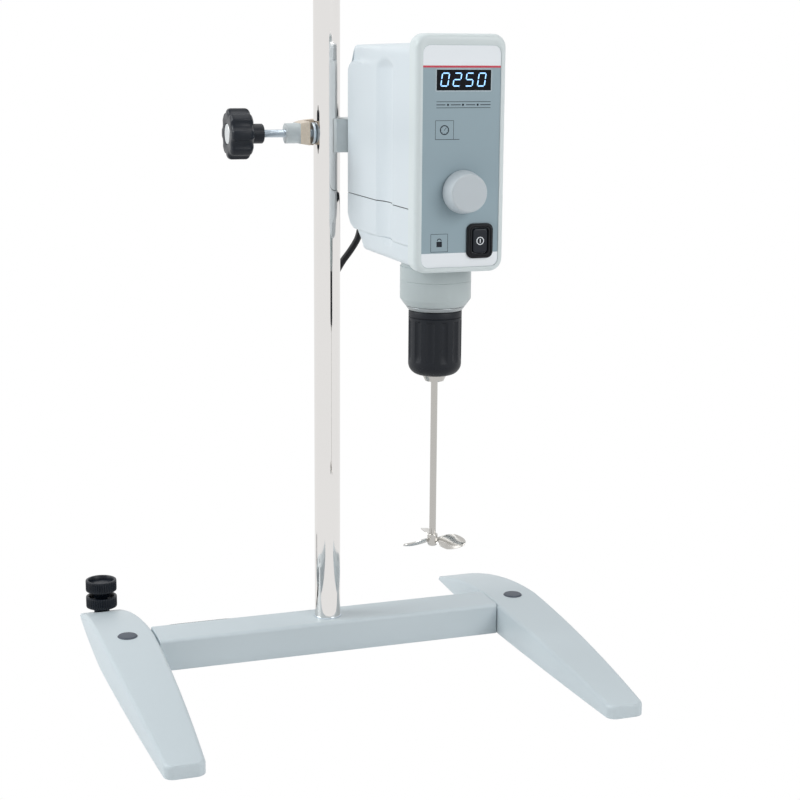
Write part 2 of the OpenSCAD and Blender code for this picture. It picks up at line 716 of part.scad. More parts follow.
// Upright hollow in each side of the casing for the fingers
module finger_grooves(grow) {
    r = (pow(groove_w / 2, 2) + pow(groove_depth, 2)) / (2 * groove_depth);
    for (side = [-1, 1]) translate([side * (case_w / 2 - groove_depth + r), groove_y, 0]) {
        translate([0, 0, groove_z0]) cylinder(h = groove_z1 - groove_z0, r = r + grow, $fn = 96);
        translate([0, 0, groove_z0 - groove_run])
            cylinder(h = groove_run, r1 = r - groove_depth + grow, r2 = r + grow, $fn = 96);
        translate([0, 0, groove_z1])
            cylinder(h = groove_run, r1 = r + grow, r2 = r - groove_depth + grow, $fn = 96);
    }
}

module case_shell() difference() {
    case_solid(0);
    finger_grooves(0);
    difference() {
        case_solid(case_wall);
        finger_grooves(case_wall);
    }
}

module upper_cover() color(casing) at_head() difference() {
    intersection() {
        case_shell();
        translate([-case_w, seam_y, split_z]) cube([2 * case_w, 2 * case_d, case_h]);
    }
    translate([0, 0, arm_up]) bar_y(case_back - 10, 20, arm_d + 1);
    for (x = [-cover_screw_x, cover_screw_x]) translate([x, 0, cover_screw_z[1]]) cover_screw_hole();
}

module lower_cover() color(casing) at_head() difference() {
    intersection() {
        case_shell();
        translate([-case_w, seam_y, 0]) cube([2 * case_w, 2 * case_d, split_z]);
    }
    bar_z(0, 10, column_d + 1);
    translate([0, 0, gland_z]) bar_y(case_back - 10, 20, gland_d - 3);
    for (x = [-cover_screw_x, cover_screw_x]) translate([x, 0, cover_screw_z[0]]) cover_screw_hole();
    for (i = [0 : vent_count - 1])
        translate([-18, case_back - 100 + i * 8, 0]) cube([36, 3, case_low + case_wall + 1]);
}

module cover_screw_hole() {
    bar_y(case_back - 10, 20, cover_screw_d + 0.4);
    bar_y(case_back - 1.6, 5, 7.4);
}

module cover_screws() color(steel) at_head()
    for (x = [-cover_screw_x, cover_screw_x], z = cover_screw_z) translate([x, 0, z]) difference() {
        union() {
            bar_y(case_back - 1.6, 1.4, 7);
            bar_y(back_rear_y - 6, case_back - back_rear_y + 5, cover_screw_d);
        }
        bar_y(case_back - 1, 2, 2.4);
    }

// ---------- Drive ----------

motor_base_z = floor_z + floor_t;
motor_l = column_top - motor_drop - motor_base_z;
motor_shaft_d = 8;
rotor_d = motor_d - 17;
bell_t = 12;

module drive_frame() color(steel) at_head() difference() {
    union() {
        bar_z(column_low, column_top - column_low, column_d);
        translate([-frame_half_w, -36, floor_z]) cube([2 * frame_half_w, back_rear_y + 36, floor_t]);
        translate([-frame_half_w, back_front_y, floor_z])
            cube([2 * frame_half_w, back_rear_y - back_front_y, board_z - floor_z]);
        for (x = [-post_xy[0] + 2, post_xy[0] - 2]) translate([x, post_xy[1], 0])
            bar_z(floor_z, board_z - floor_z, 6);
        translate([0, 0, arm_up]) bar_y(back_front_y, case_back - case_wall - 1 - back_front_y, socket_d);
        for (x = [-cover_screw_x, cover_screw_x], z = cover_screw_z)
            translate([x, 0, z]) bar_y(back_rear_y - 1, case_back - case_wall - back_rear_y + 1, 9);
    }
    bar_z(column_low - 1, column_top + neck_h + 2, spindle_d + 12);
    bar_z(column_low - 1, bearing_w + 1, bearing_d);
    bar_z(column_top - bearing_w, bearing_w + 1, bearing_d);
    translate([0, 0, arm_up]) bar_y(back_front_y - 1, case_back, arm_d);
    for (x = [-cover_screw_x, cover_screw_x], z = cover_screw_z)
        translate([x, 0, z]) bar_y(back_rear_y - 6, case_back, cover_screw_d);
}

module bearing(z0) translate([0, 0, z0]) rotate_extrude($fn = 64) polygon([[spindle_d / 2 + run_gap, 0],
    [spindle_d / 2 + 3, 0], [spindle_d / 2 + 3, 0.8], [bearing_d / 2 - 3, 0.8], [bearing_d / 2 - 3, 0],
    [bearing_d / 2, 0], [bearing_d / 2, bearing_w], [bearing_d / 2 - 3, bearing_w],
    [bearing_d / 2 - 3, bearing_w - 0.8], [spindle_d / 2 + 3, bearing_w - 0.8],
    [spindle_d / 2 + 3, bearing_w], [spindle_d / 2 + run_gap, bearing_w]]);

module upper_bearing() color(steel) at_head() bearing(column_top - bearing_w);
module lower_bearing() color(steel) at_head() bearing(column_low);

module motor() color([0.25, 0.26, 0.28]) at_head() translate([0, belt_centres, motor_base_z]) difference() {
    union() {
        bar_z(0, motor_l, motor_d - 4);
        bar_z(0, bell_t, motor_d);
        bar_z(motor_l - bell_t, bell_t, motor_d);
    }
    bar_z(bell_t, motor_l - 2 * bell_t, rotor_d + 1.6);
    bar_z(2, motor_l, motor_shaft_d + 2 * run_gap);
}

module motor_shaft() color(steel) at_head() translate([0, belt_centres, motor_base_z]) {
    bar_z(2.5, pulley_z + pulley_w + 1 - motor_base_z - 2.5, motor_shaft_d);
    bar_z(bell_t + 2, motor_l - 2 * bell_t - 4, rotor_d);
}

module pulley(d, bore) difference() {
    union() {
        bar_z(pulley_z, pulley_w, d);
        for (z = [pulley_z, pulley_z + pulley_w - 1.5]) bar_z(z, 1.5, d + 5);
    }
    bar_z(pulley_z - 1, pulley_w + 2, bore);
}

module motor_pulley() color(steel) at_head() translate([0, belt_centres, 0])
    pulley(small_pulley_d, motor_shaft_d);
module spindle_pulley() color(steel) at_head() pulley(big_pulley_d, spindle_d);

module belt_loop(t) hull() {
    circle(r = big_pulley_d / 2 + belt_gap + t, $fn = 96);
    translate([0, belt_centres]) circle(r = small_pulley_d / 2 + belt_gap + t, $fn = 48);
}

module drive_belt() color(black) at_head() translate([0, 0, pulley_z + (pulley_w - belt_w) / 2])
    linear_extrude(belt_w) difference() {
        belt_loop(belt_t);
        belt_loop(0);
    }

module power_board() color([0.05, 0.35, 0.20]) at_head() translate([0, case_back - 18, board_z]) {
    l = case_back + 16;
    translate([-32, -l, 0]) cube([64, l, board_t]);
    for (p = [[-26, -36, 18, 24, 18], [4, -34, 22, 20, 14], [-28, -76, 24, 26, 16], [8, -86, 20, 12, 20],
        [-24, -136, 30, 16, 10]])
        translate([p[0], p[1], board_t - tiny]) cube([p[2], p[3], p[4]]);
    for (p = [[14, -62], [14, -46], [20, -120]]) translate([p[0], p[1], 0]) bar_z(board_t - tiny, 18, 12);
}

// ---------- Neck, spindle and chuck ----------

ring_h = 4.2;
sleeve_top = -neck_h - ring_h - 0.5;
sleeve_low = -neck_h - ring_h - sleeve_l;
taper_r = 11.2;
taper_z = sleeve_low + taper_r;
sleeve_r = sleeve_d / 2;
sleeve_wall = 3;
body_r = sleeve_r - sleeve_wall - 0.4;
nose_h = 6.3;
nose_z = sleeve_low - nose_h;
nose_r = 12;
mouth_r = 5.5;
spindle_low = sleeve_top - 19.3;
shaft_top = spindle_low - 4;
jaw_tip_r = shaft_d / 2 + 1.4;
jaw_tip_z = nose_z + 3;
jaw_l = 26;
flute_r = 7;
flute_depth = 1;
shaft_low = nose_z - shaft_free_l;

module neck_shroud() color([0.74, 0.77, 0.77]) at_head() rotate_extrude($fn = 96) polygon([
    [column_d / 2, -neck_h], [neck_d / 2 - 4.8, -neck_h], [neck_d / 2, 6.3 - neck_h], [neck_d / 2, case_low],
    [neck_d / 2 - 3, case_low], [neck_d / 2 - 3, 7.5 - neck_h], [neck_d / 2 - 6, 4 - neck_h],
    [column_d / 2, 4 - neck_h]]);

module neck_ring() color([0.60, 0.63, 0.64]) at_head() rotate_extrude($fn = 96) polygon([
    [spindle_d / 2 + 4, -neck_h], [spindle_d / 2 + 4, -neck_h - ring_h], [neck_d / 2 - 8, -neck_h - ring_h],
    [neck_d / 2 - 5.5, -neck_h - 1], [neck_d / 2 - 5.5, -neck_h]]);

module spindle() color(steel) at_head() {
    bar_z(spindle_low, pulley_z + pulley_w + 2 - spindle_low, spindle_d);
}

module on_jaw_axis(k) rotate([0, 0, k * 120]) translate([jaw_tip_r, 0, jaw_tip_z])
    rotate([0, jaw_tilt, 0]) children();

module chuck_body() color(steel) at_head() difference() {
    rotate_extrude($fn = 72) polygon([[0, sleeve_top - 2.5], [body_r, sleeve_top - 2.5], [body_r, taper_z],
        [nose_r, sleeve_low], [nose_r - 3, nose_z], [0, nose_z]]);
    bar_z(spindle_low, 30, spindle_d);
    bar_z(nose_z - 1, shaft_top - nose_z + 1, shaft_d);
    bar_z(nose_z - 1, shaft_top - 6 - nose_z + 1, 2 * mouth_r);
    for (k = [0 : 2]) on_jaw_axis(k) translate([0, 0, -8])
        cylinder(h = 8 + jaw_l + jaw_travel + 1, d = jaw_d + 2 * run_gap, $fn = 48);
}

module chuck_sleeve() color([0.12, 0.13, 0.14]) at_head() difference() {
    rotate_extrude($fn = 72) polygon(concat(
        [[spindle_d / 2 + 3, sleeve_top], [sleeve_r - 1, sleeve_top], [sleeve_r, sleeve_top - 1]],
        arc(sleeve_r - taper_r, taper_z, taper_r, 0, -84, 6), [[nose_r + 0.6, sleeve_low],
        [body_r + 0.4, taper_z - 0.4], [body_r + 0.4, sleeve_top - 16], [body_r + run_gap, sleeve_top - 16],
        [body_r + run_gap, sleeve_top - 8], [body_r + 0.4, sleeve_top - 8], [body_r + 0.4, sleeve_top - 2.2],
        [spindle_d / 2 + 3, sleeve_top - 2.2]]));
    for (i = [0 : flute_count - 1]) rotate([0, 0, i * 360 / flute_count])
        translate([sleeve_r + flute_r - flute_depth, 0, taper_z + 3])
            cylinder(h = sleeve_top - 9 - taper_z - 3, r = flute_r, $fn = 32);
}

module jaw(k) color(steel) at_head() difference() {
    on_jaw_axis(k) cylinder(h = jaw_l, d = jaw_d, $fn = 48);
    rotate([0, 0, k * 120]) translate([-jaw_d * 2, -jaw_d, nose_z - 10])
        cube([jaw_d * 2 + shaft_d / 2 + run_gap, 2 * jaw_d, sleeve_l]);
}
module jaw_1() jaw(0);
module jaw_2() jaw(1);
module jaw_3() jaw(2);

// ---------- Stirring shaft and propeller ----------

hub_z = shaft_low - 2;
prop_hub_d = 10;
prop_hub_h = 12;
blade_count = 3;
blade_start = 78;

module stirring_shaft() color(steel) at_head() bar_z(shaft_low, shaft_top - shaft_low, shaft_d);

// Half the width of a blade at radius r: narrow at the hub, widest past the middle, round at the tip
function blade_half(r) = let (s = r / (propeller_d / 2))
    blade_w / 2 * sqrt(max(0.02, 1 - pow((s - 0.55) / 0.46, 2))) * (s < 0.55 ? 0.55 + 0.45 * s / 0.55 : 1);
function blade_turn(r) = blade_pitch + 22 * (1 - r / (propeller_d / 2));

// Section of a blade across its length at radius r
function blade_ring(r) = let (w = blade_half(r), t = blade_t / 2, a = blade_turn(r))
    [for (p = [[-w, t * 0.5], [0, t], [w, t * 0.5], [w, -t * 0.5], [0, -t], [-w, -t * 0.5]])
        [r, p[0] * cos(a) - p[1] * sin(a), p[0] * sin(a) + p[1] * cos(a)]];

module blade() loft([for (i = [0 : 14]) blade_ring(3.5 + (propeller_d / 2 - 3.5) * sin(i * 90 / 14))]);

module propeller() color(steel) at_head() translate([0, 0, hub_z]) difference() {
    union() {
        rotate_extrude($fn = 48) polygon(concat([[0, 0]], arc(prop_hub_d / 2 - 3, 3, 3, -90, 0, 4),
            [[prop_hub_d / 2, prop_hub_h - 1], [prop_hub_d / 2 - 1, prop_hub_h], [0, prop_hub_h]]));
        for (k = [0 : blade_count - 1]) rotate([0, 0, blade_start + k * 360 / blade_count])
            translate([0, 0, prop_hub_h / 2]) blade();
    }
    bar_z(shaft_low - hub_z, prop_hub_h, shaft_d);
}

// ---------- Mains cord ----------

gland_l = 25;
hank_x0 = -181;
hank_l = 120;
hank_y0 = 28;
hank_w = 63;
hank_h = 14.4;
hank_end_r = hank_w / 2;
cord_rest_z = 3.7;
stub_end_x = -57;
cord_in_y = hank_y0 + hank_w - cord_d / 2;
plug_y = 38.5;
plug_x = -34;
plug_l = 38;
plug_w = 26;
plug_h = 20;
pin_pitch = 12.7;
pin_l = 18;
pin_w = 6.3;
pin_t = 1.5;
earth_pin_d = 4.8;

// Way of the cord from the gland to the hank, measured from the stand rod's foot
cord_route = [[58, 7.5, 475.5], [58, 14, 475.1], [57, 27, 470], [54, 37, 459], [50.5, 42, 446],
    [46.5, 42.5, 431], [38.5, 42, 418.5], [29.3, 42, 406.6], [21, 42, 392], [15.5, 42, 375],
    [13, 42.5, 355], [12.5, 44, 330], [13, 47, 290], [14.5, 52, 240], [16.5, 57, 190], [18.5, 62, 140],
    [20, 67, 95], [20.5, 70, 65], [20.5, 71, 48], [20.5, 71.5, 34.6], [18.1, 72, 22.7], [11.4, 72.6, 12.7],
    [1.4, 73.6, 6], [-10.5, 75.9, 3.7], [-25, 80, 3.7], [-38, 84, 3.7], [-48, 86.4, 3.7], [-57, 87.5, 3.7]];

function way_point(i) = cord_route[max(0, min(len(cord_route) - 1, i))];

// Point at parameter t on a smooth curve through the route
function on_way(t) = let (i = floor(t), f = t - i, a = way_point(i - 1), b = way_point(i),
    c = way_point(i + 1), d = way_point(i + 2))
    0.5 * (2 * b + (c - a) * f + (2 * a - 5 * b + 4 * c - d) * f * f + (3 * b - a - 3 * c + d) * f * f * f);

cord_sides = 10;
cord_rings = 2 * (len(cord_route) - 1);

function cord_ring(k) = let (
    t = k / 2,
    last = k == cord_rings,
    ahead = k == 0 ? [0, 1, 0] : last ? [-1, 0, 0] : on_way(t + 0.1) - on_way(t - 0.1),
    along = ahead / norm(ahead),
    hint = [1 - k / cord_rings, k / cord_rings, 0],
    side = cross(along, hint) / norm(cross(along, hint)),
    up = cross(side, along),
    p = last ? way_point(len(cord_route)) : on_way(t))
    [for (j = [0 : cord_sides - 1]) let (a = j * 360 / cord_sides)
        p + cord_d / 2 * (side * cos(a) + up * sin(a))];

module cord_drop() color(black) at_rod() loft([for (k = [0 : cord_rings]) cord_ring(k)]);

module cord_hank() color(black) at_rod() {
    linear_extrude(hank_h) polygon([for (p = round_rect(hank_l, hank_w, hank_end_r, hank_end_r, 12))
        p + [hank_x0 + hank_l / 2, hank_y0 + hank_w / 2]]);
    for (p = [[cord_in_y, cord_rest_z], [plug_y, plug_h / 2]]) translate([0, p[0], p[1]])
        bar_x(hank_x0 + hank_l - 30, stub_end_x - hank_x0 - hank_l + 30, cord_d);
}

module cord_gland() color(black) at_head() translate([0, case_back, gland_z]) {
    bar_y(-case_wall - 4, case_wall + 4 + tiny, gland_d - 3);
    bar_y(0, 4, gland_d);
    translate([0, 4 - tiny, 0]) rotate([-90, 0, 0])
        cylinder(h = gland_l - 4 + tiny, d1 = gland_d - 1, d2 = cord_d + 2, $fn = 48);
}

module plug_body() color(black) at_rod() {
    translate([plug_x, plug_y - plug_w / 2, 0]) cube([plug_l, plug_w, plug_h]);
    translate([stub_end_x, plug_y, plug_h / 2]) rotate([0, 90, 0])
        cylinder(h = plug_x - stub_end_x + tiny, d1 = cord_d + 1, d2 = cord_d + 5, $fn = 32);
}

module plug_pins() color(steel) at_rod() translate([plug_x + plug_l, plug_y, plug_h / 2]) {
    for (side = [-1, 1]) translate([0, side * pin_pitch / 2 - pin_t / 2, -1.4 - pin_w / 2])
        cube([pin_l, pin_t, pin_w]);
    translate([0, 0, 3.8]) bar_x(0, pin_l + 2, earth_pin_d);
}

crossbar();
left_leg();
right_leg();
leg_bolts();
leg_cap_plugs();
stand_rod();
rod_end_cap();
rod_bolt();
rubber_feet();
levelling_screw();
levelling_lock_nut();
levelling_foot();
clamp_body();
extension_arm();
rod_clamp_pad();
rod_clamp_screw();
rod_clamp_knob();
rod_clamp_cap();
arm_clamp_pad();
arm_clamp_screw();
arm_clamp_knob();
arm_clamp_cap();
front_bezel();
control_overlay();
display_window();
display_module();
control_board();
speed_encoder();
encoder_shaft();
speed_knob();
switch_frame();
switch_button();
switch_body();
upper_cover();
lower_cover();
cover_screws();
drive_frame();
motor();
motor_shaft();
motor_pulley();
drive_belt();
spindle_pulley();
spindle();
upper_bearing();
lower_bearing();
neck_shroud();
neck_ring();
power_board();
chuck_body();
chuck_sleeve();
jaw_1();
jaw_2();
jaw_3();
stirring_shaft();
propeller();
cord_gland();
cord_drop();
cord_hank();
plug_body();
plug_pins();
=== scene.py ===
import math

import bmesh
import bpy
from mathutils import Matrix, Vector


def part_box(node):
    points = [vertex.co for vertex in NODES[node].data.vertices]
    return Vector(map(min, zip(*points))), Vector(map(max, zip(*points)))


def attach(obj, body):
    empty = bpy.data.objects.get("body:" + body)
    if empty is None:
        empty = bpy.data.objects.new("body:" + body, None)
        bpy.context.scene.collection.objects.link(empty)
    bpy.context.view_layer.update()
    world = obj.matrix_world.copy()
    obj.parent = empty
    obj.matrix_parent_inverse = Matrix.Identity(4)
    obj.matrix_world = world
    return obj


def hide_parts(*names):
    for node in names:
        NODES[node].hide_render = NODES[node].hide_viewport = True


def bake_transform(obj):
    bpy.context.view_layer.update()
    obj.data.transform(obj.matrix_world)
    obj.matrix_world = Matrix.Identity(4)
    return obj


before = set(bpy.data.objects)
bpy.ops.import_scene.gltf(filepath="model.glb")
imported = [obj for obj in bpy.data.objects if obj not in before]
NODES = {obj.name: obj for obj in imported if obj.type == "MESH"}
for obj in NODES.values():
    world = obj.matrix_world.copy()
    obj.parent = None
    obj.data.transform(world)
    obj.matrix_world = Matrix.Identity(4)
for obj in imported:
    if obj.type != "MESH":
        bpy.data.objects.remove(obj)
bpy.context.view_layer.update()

MM = 0.001


def centre(node):
    """Middle of a CAD node's box, in millimetres."""
    low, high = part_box(node)
    return [(low[i] + high[i]) / 2 / MM for i in range(3)]


def low_of(node, axis):
    """Lowest place of a CAD node along an axis, in millimetres."""
    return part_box(node)[0][axis] / MM


def high_of(node, axis):
    """Highest place of a CAD node along an axis, in millimetres."""
    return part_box(node)[1][axis] / MM


# ---------------------------------------------------------------- places, in millimetres

ROD = (centre("stand_rod")[0], centre("stand_rod")[1], 0.0)
HEAD = (centre("spindle")[0], centre("spindle")[1], low_of("front_bezel", 2))
CLAMP = (ROD[0], ROD[1], centre("rod_clamp_screw")[2])
LEVEL = (centre("levelling_screw")[0], centre("levelling_screw")[1], 0.0)
LEG_X = centre("right_leg")[0]
BASE_H = high_of("crossbar", 2)

# ---------------------------------------------------------------- camera

CAMERA_PLACE = (-0.49208, -1.57602, 0.63192)
CAMERA_YAW = math.radians(-19.380)
CAMERA_PITCH = math.radians(12.047)
CAMERA_ROLL = math.radians(0.437)
CAMERA_LENS = 75.31


def camera():
    """The camera, aimed by yaw, downward pitch and roll."""
    data = bpy.data.cameras.new("camera")
    data.lens = CAMERA_LENS
    data.sensor_width = 36.0
    data.clip_start = 0.05
    data.clip_end = 20.0
    view = bpy.data.objects.new("camera", data)
    bpy.context.scene.collection.objects.link(view)
    ahead = Vector((
        -math.sin(CAMERA_YAW) * math.cos(CAMERA_PITCH),
        math.cos(CAMERA_YAW) * math.cos(CAMERA_PITCH),
        -math.sin(CAMERA_PITCH),
    ))
    right = Vector((math.cos(CAMERA_YAW), math.sin(CAMERA_YAW), 0.0))
    up = right.cross(ahead)
    x_axis = right * math.cos(CAMERA_ROLL) + up * math.sin(CAMERA_ROLL)
    y_axis = up * math.cos(CAMERA_ROLL) - right * math.sin(CAMERA_ROLL)
    turn = Matrix((x_axis, y_axis, -ahead)).transposed().to_4x4()
    view.matrix_world = Matrix.Translation(CAMERA_PLACE) @ turn
    bpy.context.scene.camera = view


camera()

# ---------------------------------------------------------------- mesh tools

EDGE_STEPS = 2
WELD_REACH = 2e-6


def arc(cx, cy, r, start, end, steps):
    """Points of an arc, in the plane of a section."""
    out = []
    for i in range(steps + 1):
        a = math.radians(start + (end - start) * i / steps)
        out.append((cx + r * math.cos(a), cy + r * math.sin(a)))
    return out


def round_rect(w, h, r, cx=0.0, cy=0.0, steps=8):
    """Outline of a rectangle with round corners, anticlockwise."""
    x, y = w / 2 - r, h / 2 - r
    return (
        arc(cx + x, cy - y, r, -90, 0, steps)
        + arc(cx + x, cy + y, r, 0, 90, steps)
        + arc(cx - x, cy + y, r, 90, 180, steps)
        + arc(cx - x, cy - y, r, 180, 270, steps)
    )


def circle(r, steps, cx=0.0, cy=0.0):
    """Points of a full circle, anticlockwise."""
    return [
        (cx + r * math.cos(2 * math.pi * i / steps), cy + r * math.sin(2 * math.pi * i / steps))
        for i in range(steps)
    ]


def smoothstep(a, b, x):
    """0 below a, 1 above b, and a soft rise between them."""
    t = min(1.0, max(0.0, (x - a) / (b - a)))
    return t * t * (3 - 2 * t)


class Shape:
    """Gathers the faces of one piece, in millimetres from an origin of its own."""

    def __init__(self, origin=(0.0, 0.0, 0.0)):
        self.origin = Vector(origin)
        self.points = []
        self.faces = []
        self.slots = []

    def add(self, points, faces, slot=0):
        start = len(self.points)
        self.points += [tuple(p) for p in points]
        self.faces += [tuple(start + i for i in face) for face in faces]
        self.slots += [slot] * len(faces)

    def loft(self, rings, start=True, end=True, slot=0):
        """Skin through closed rings of equal count."""
        n = len(rings[0])
        points = [p for ring in rings for p in ring]
        faces = []
        for k in range(len(rings) - 1):
            for i in range(n):
                j = (i + 1) % n
                faces.append((k * n + i, k * n + j, (k + 1) * n + j, (k + 1) * n + i))
        if start:
            faces.append(tuple(range(n - 1, -1, -1)))
        if end:
            last = (len(rings) - 1) * n
            faces.append(tuple(last + i for i in range(n)))
        self.add(points, faces, slot)

    def plate(self, outline, y0, y1, edge=0.0, slot=0):
        """Upright plate with its outline in X and Z and a small edge round its front at y0."""
        def ring(y, cut):
            cx = sum(p[0] for p in outline) / len(outline)
            cz = sum(p[1] for p in outline) / len(outline)
            out = []
            for x, z in outline:
                d = Vector((x - cx, z - cz))
                k = 1 - cut / max(d.length, cut + 0.01)
                out.append((cx + d.x * k, y, cz + d.y * k))
            return out
        rings = [ring(y0, edge), ring(y0 + edge, 0.0), ring(y1, 0.0)] if edge else [ring(y0, 0), ring(y1, 0)]
        self.loft(rings, slot=slot)

    def spin(self, profile, steps=96, axis="Z", at=(0.0, 0.0, 0.0), slot=0, swell=None):
        """Turned shape: profile holds (radius, height) from one end to the other."""
        rings = []
        for r, h in profile:
            ring = []
            for i in range(steps):
                a = 2 * math.pi * i / steps
                q = r + (swell(a, r, h) if swell else 0.0)
                c, s = q * math.cos(a), q * math.sin(a)
                if axis == "Z":
                    p = (c, s, h)
                elif axis == "X":
                    p = (h, c, s)
                else:
                    p = (s, h, c)
                ring.append((p[0] + at[0], p[1] + at[1], p[2] + at[2]))
            rings.append(ring)
        ring_shaped = profile[0] == profile[-1]
        self.loft(rings, start=profile[0][0] > 0.01 and not ring_shaped,
                  end=profile[-1][0] > 0.01 and not ring_shaped, slot=slot)

    def block(self, low, high, slot=0):
        x0, y0, z0 = low
        x1, y1, z1 = high
        self.loft([
            [(x0, y0, z), (x1, y0, z), (x1, y1, z), (x0, y1, z)] for z in (z0, z1)
        ], slot=slot)

    def build(self, name, body, materials, stands_for=(), bevel=0.0, sharp=35.0):
        """Makes the object, rides it on its body and hides the CAD nodes that it stands for."""
        mesh = bpy.data.meshes.new(name)
        mesh.from_pydata([(self.origin + Vector(p)) * MM for p in self.points], [], self.faces)
        for material in materials:
            mesh.materials.append(material)
        for face, index in zip(mesh.polygons, self.slots):
            face.material_index = index
            face.use_smooth = True
        piece = bpy.data.objects.new(name, mesh)
        bpy.context.scene.collection.objects.link(piece)
        tidy_normals(mesh)
        mesh.set_sharp_from_angle(angle=math.radians(sharp))
        if bevel:
            soften(piece, bevel, sharp)
        if body:
            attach(piece, body)
        if stands_for:
            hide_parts(*stands_for)
        return piece


def tidy_normals(mesh):
    """Joins the seam of a closed ring and turns every face outwards."""
    work = bmesh.new()
    work.from_mesh(mesh)
    bmesh.ops.remove_doubles(work, verts=work.verts, dist=1e-7)
    bmesh.ops.dissolve_degenerate(work, edges=work.edges, dist=1e-8)
    bmesh.ops.recalc_face_normals(work, faces=work.faces)
    work.to_mesh(mesh)
    work.free()


def soften(piece, width, sharp=35.0):
    """Small round on every sharp edge."""
    bevel = piece.modifiers.new("edge", "BEVEL")
    bevel.width = width * MM
    bevel.segments = EDGE_STEPS
    bevel.limit_method = "ANGLE"
    bevel.angle_limit = math.radians(sharp)
    bevel.harden_normals = True
    bevel.use_clamp_overlap = True


def dress(node, material, width=0.0, sharp=30.0):
    """Gives a CAD node that stays its material, and a small round on its edges."""
    piece = NODES[node]
    piece.data.materials.clear()
    piece.data.materials.append(material)
    if width:
        weld = piece.modifiers.new("weld", "WELD")
        weld.merge_threshold = WELD_REACH
        soften(piece, width, sharp)


# ---------------------------------------------------------------- materials


def linear(red, green, blue):
    """Linear colour of a screen colour given in 0 to 255."""
    out = []
    for value in (red, green, blue):
        c = value / 255
        out.append(c / 12.92 if c <= 0.04045 else ((c + 0.055) / 1.055) ** 2.4)
    return (*out, 1.0)


def new_group(name, inputs, outputs):
    """Empty shader node group with sockets given as (name, type, default)."""
    tree = bpy.data.node_groups.new(name, "ShaderNodeTree")
    for label, kind, value in inputs:
        socket = tree.interface.new_socket(label, in_out="INPUT", socket_type=kind)
        if value is not None:
            socket.default_value = value
    for label, kind in outputs:
        tree.interface.new_socket(label, in_out="OUTPUT", socket_type=kind)
    return tree, tree.nodes.new("NodeGroupInput"), tree.nodes.new("NodeGroupOutput")


def mottle_group():
    """Slow, slight change of colour and gloss over a surface."""
    tree, inside, out = new_group(
        "mottle",
        [("Color", "NodeSocketColor", None), ("Scale", "NodeSocketFloat", 20.0),
         ("Amount", "NodeSocketFloat", 0.04), ("Gloss", "NodeSocketFloat", 0.4)],
        [("Color", "NodeSocketColor"), ("Roughness", "NodeSocketFloat")],
    )
    place = tree.nodes.new("ShaderNodeTexCoord")
    noise = tree.nodes.new("ShaderNodeTexNoise")
    noise.inputs["Detail"].default_value = 4.0
    spread = tree.nodes.new("ShaderNodeMath")
    spread.operation = "SUBTRACT"
    spread.inputs[1].default_value = 0.5
    scaled = tree.nodes.new("ShaderNodeMath")
    scaled.operation = "MULTIPLY_ADD"
    scaled.inputs[2].default_value = 1.0
    mix = tree.nodes.new("ShaderNodeVectorMath")
    mix.operation = "SCALE"
    gloss = tree.nodes.new("ShaderNodeMath")
    gloss.operation = "MULTIPLY"
    link = tree.links.new
    link(place.outputs["Object"], noise.inputs["Vector"])
    link(inside.outputs["Scale"], noise.inputs["Scale"])
    link(noise.outputs["Fac"], spread.inputs[0])
    link(spread.outputs[0], scaled.inputs[0])
    link(inside.outputs["Amount"], scaled.inputs[1])
    link(inside.outputs["Color"], mix.inputs[0])
    link(scaled.outputs[0], mix.inputs["Scale"])
    link(inside.outputs["Gloss"], gloss.inputs[0])
    link(scaled.outputs[0], gloss.inputs[1])
    link(mix.outputs[0], out.inputs["Color"])
    link(gloss.outputs[0], out.inputs["Roughness"])
    return tree


def grain_group():
    """Fine skin of moulded plastic, powder coat or rubber, as a normal."""
    tree, inside, out = new_group(
        "grain",
        [("Scale", "NodeSocketFloat", 1500.0), ("Strength", "NodeSocketFloat", 0.2),
         ("Depth", "NodeSocketFloat", 0.0001), ("Stretch", "NodeSocketVector", (1.0, 1.0, 1.0))],
        [("Normal", "NodeSocketVector")],
    )
    place = tree.nodes.new("ShaderNodeTexCoord")
    stretch = tree.nodes.new("ShaderNodeVectorMath")
    stretch.operation = "MULTIPLY"
    noise = tree.nodes.new("ShaderNodeTexNoise")
    noise.inputs["Detail"].default_value = 3.0
    bump = tree.nodes.new("ShaderNodeBump")
    link = tree.links.new
    link(place.outputs["Object"], stretch.inputs[0])
    link(inside.outputs["Stretch"], stretch.inputs[1])
    link(stretch.outputs[0], noise.inputs["Vector"])
    link(inside.outputs["Scale"], noise.inputs["Scale"])
    link(noise.outputs["Fac"], bump.inputs["Height"])
    link(inside.outputs["Strength"], bump.inputs["Strength"])
    link(inside.outputs["Depth"], bump.inputs["Distance"])
    link(bump.outputs["Normal"], out.inputs["Normal"])
    return tree


MOTTLE = mottle_group()
GRAIN = grain_group()


